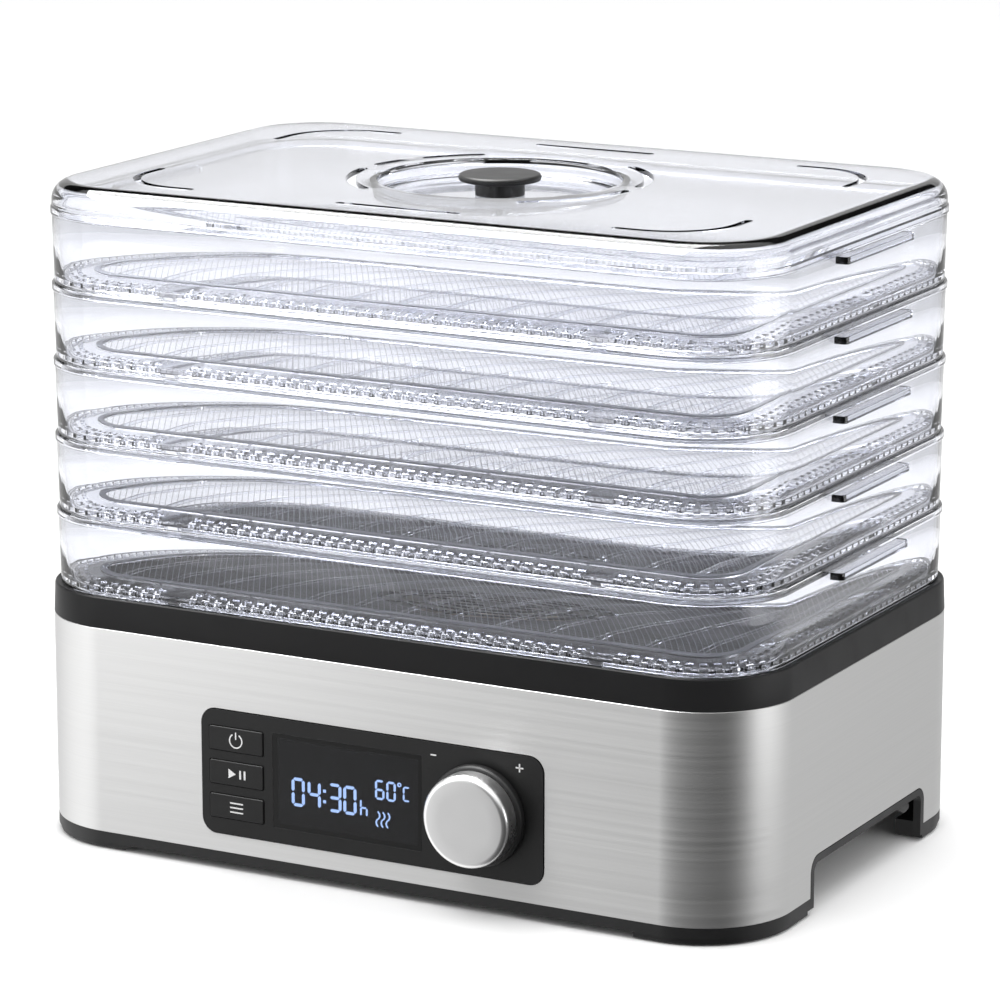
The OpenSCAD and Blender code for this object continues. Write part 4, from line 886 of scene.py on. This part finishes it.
SIDE_X, FRONT_Y = 0.62, -0.55
light_row("side_strip", ((-0.36, -0.22, 0.5), (-0.22, -0.12, 1.7), (-0.12, 0.10, 3.5),
                         (0.10, 0.25, 2.3), (0.25, 0.42, 1.0), (0.42, 0.62, 0.5)), 0.22, 0.14,
          lambda y, z: (SIDE_X, y, z), lambda y, z: (0.0, y, z))
light_row("front_strip", ((-0.72, -0.34, 1.35), (-0.34, -0.24, 1.05), (-0.24, -0.16, 0.25)), 0.32, 0.17,
          lambda x, z: (x, FRONT_Y, z), lambda x, z: (x, 0.0, z))
top_box = area_light("top_box", (-0.62, -0.25, 1.5), (-0.62, -0.25, 0.0), (1.1, 1.9), 91.0)
top_box.visible_diffuse = False


def studio_world():
    """Soft boxes painted by direction: an azimuth ramp near the horizon, and a ceiling above it."""
    world = bpy.data.worlds.new("studio")
    bpy.context.scene.world = world
    world.use_nodes = True
    tree = world.node_tree
    bg = tree.nodes["Background"]

    def add(kind, **values):
        node = tree.nodes.new(kind)
        for key, value in values.items():
            setattr(node, key, value)
        return node

    coord = add("ShaderNodeTexCoord")
    split = add("ShaderNodeSeparateXYZ")
    tree.links.new(coord.outputs["Generated"], split.inputs[0])
    minus_y = add("ShaderNodeMath", operation="MULTIPLY")
    tree.links.new(split.outputs["Y"], minus_y.inputs[0])
    minus_y.inputs[1].default_value = -1.0
    azimuth = add("ShaderNodeMath", operation="ARCTAN2")
    tree.links.new(split.outputs["X"], azimuth.inputs[0])
    tree.links.new(minus_y.outputs[0], azimuth.inputs[1])
    turn = add("ShaderNodeMapRange")
    turn.inputs["From Min"].default_value = -math.pi
    turn.inputs["From Max"].default_value = math.pi
    tree.links.new(azimuth.outputs[0], turn.inputs["Value"])

    def ramp(source, stops):
        node = add("ShaderNodeValToRGB")
        tree.links.new(source, node.inputs["Fac"])
        elements = node.color_ramp.elements
        while len(elements) > 1:
            elements.remove(elements[-1])
        elements[0].position = stops[0][0]
        elements[0].color = (*[stops[0][1]] * 3, 1)
        for position, level in stops[1:]:
            e = elements.new(position)
            e.color = (*[level] * 3, 1)
        return node.outputs["Color"]

    def at(degrees):
        return degrees / 360.0 + 0.5

    low = ramp(turn.outputs["Result"], [
        (0.0, 0.50), (at(-120), 0.58), (at(-80), 0.86), (at(-62), 0.90), (at(-50), 0.74), (at(-42), 0.60),
        (at(-37), 0.53), (at(-34), 0.50), (at(-32), 0.46), (at(-30), 0.40), (at(-28), 0.35), (at(-25), 0.30),
        (at(-18), 0.18), (at(-8), 0.09), (at(20), 0.07), (at(48), 0.04), (at(66), 0.03), (at(84), 0.08),
        (at(100), 0.18), (at(125), 0.34), (at(140), 0.42), (at(152), 0.45), (1.0, 0.50)])
    height = add("ShaderNodeMapRange")
    height.inputs["From Min"].default_value = -1.0
    height.inputs["From Max"].default_value = 1.0
    tree.links.new(split.outputs["Z"], height.inputs["Value"])

    def up(degrees):
        return (math.sin(math.radians(degrees)) + 1) / 2

    back_high = ramp(height.outputs["Result"], [(up(20), 0.78), (up(23), 0.02), (up(40), 0.02),
                                                (up(46), 0.9), (1.0, 1.0)])
    front_high = ramp(height.outputs["Result"], [(up(25), 0.35), (up(45), 0.95), (1.0, 1.0)])
    behind = add("ShaderNodeMapRange")
    behind.inputs["From Min"].default_value = -0.05
    behind.inputs["From Max"].default_value = 0.15
    tree.links.new(split.outputs["Y"], behind.inputs["Value"])
    high = add("ShaderNodeMix", data_type="RGBA")
    tree.links.new(behind.outputs["Result"], high.inputs["Factor"])
    sockets = [s for s in high.inputs if s.type == "RGBA"]
    tree.links.new(front_high, sockets[0])
    tree.links.new(back_high, sockets[1])
    rise = ramp(height.outputs["Result"], [(up(17), 0.0), (up(22), 1.0)])
    whole = add("ShaderNodeMix", data_type="RGBA")
    tree.links.new(rise, whole.inputs["Factor"])
    sockets = [s for s in whole.inputs if s.type == "RGBA"]
    tree.links.new(low, sockets[0])
    tree.links.new([s for s in high.outputs if s.type == "RGBA"][0], sockets[1])
    tree.links.new([s for s in whole.outputs if s.type == "RGBA"][0], bg.inputs["Color"])
    bg.inputs["Strength"].default_value = 1.45


studio_world()
bpy.context.scene.view_settings.view_transform = "Standard"
bpy.context.scene.cycles.max_bounces = 24
bpy.context.scene.cycles.transmission_bounces = 24
bpy.context.scene.cycles.transparent_max_bounces = 24
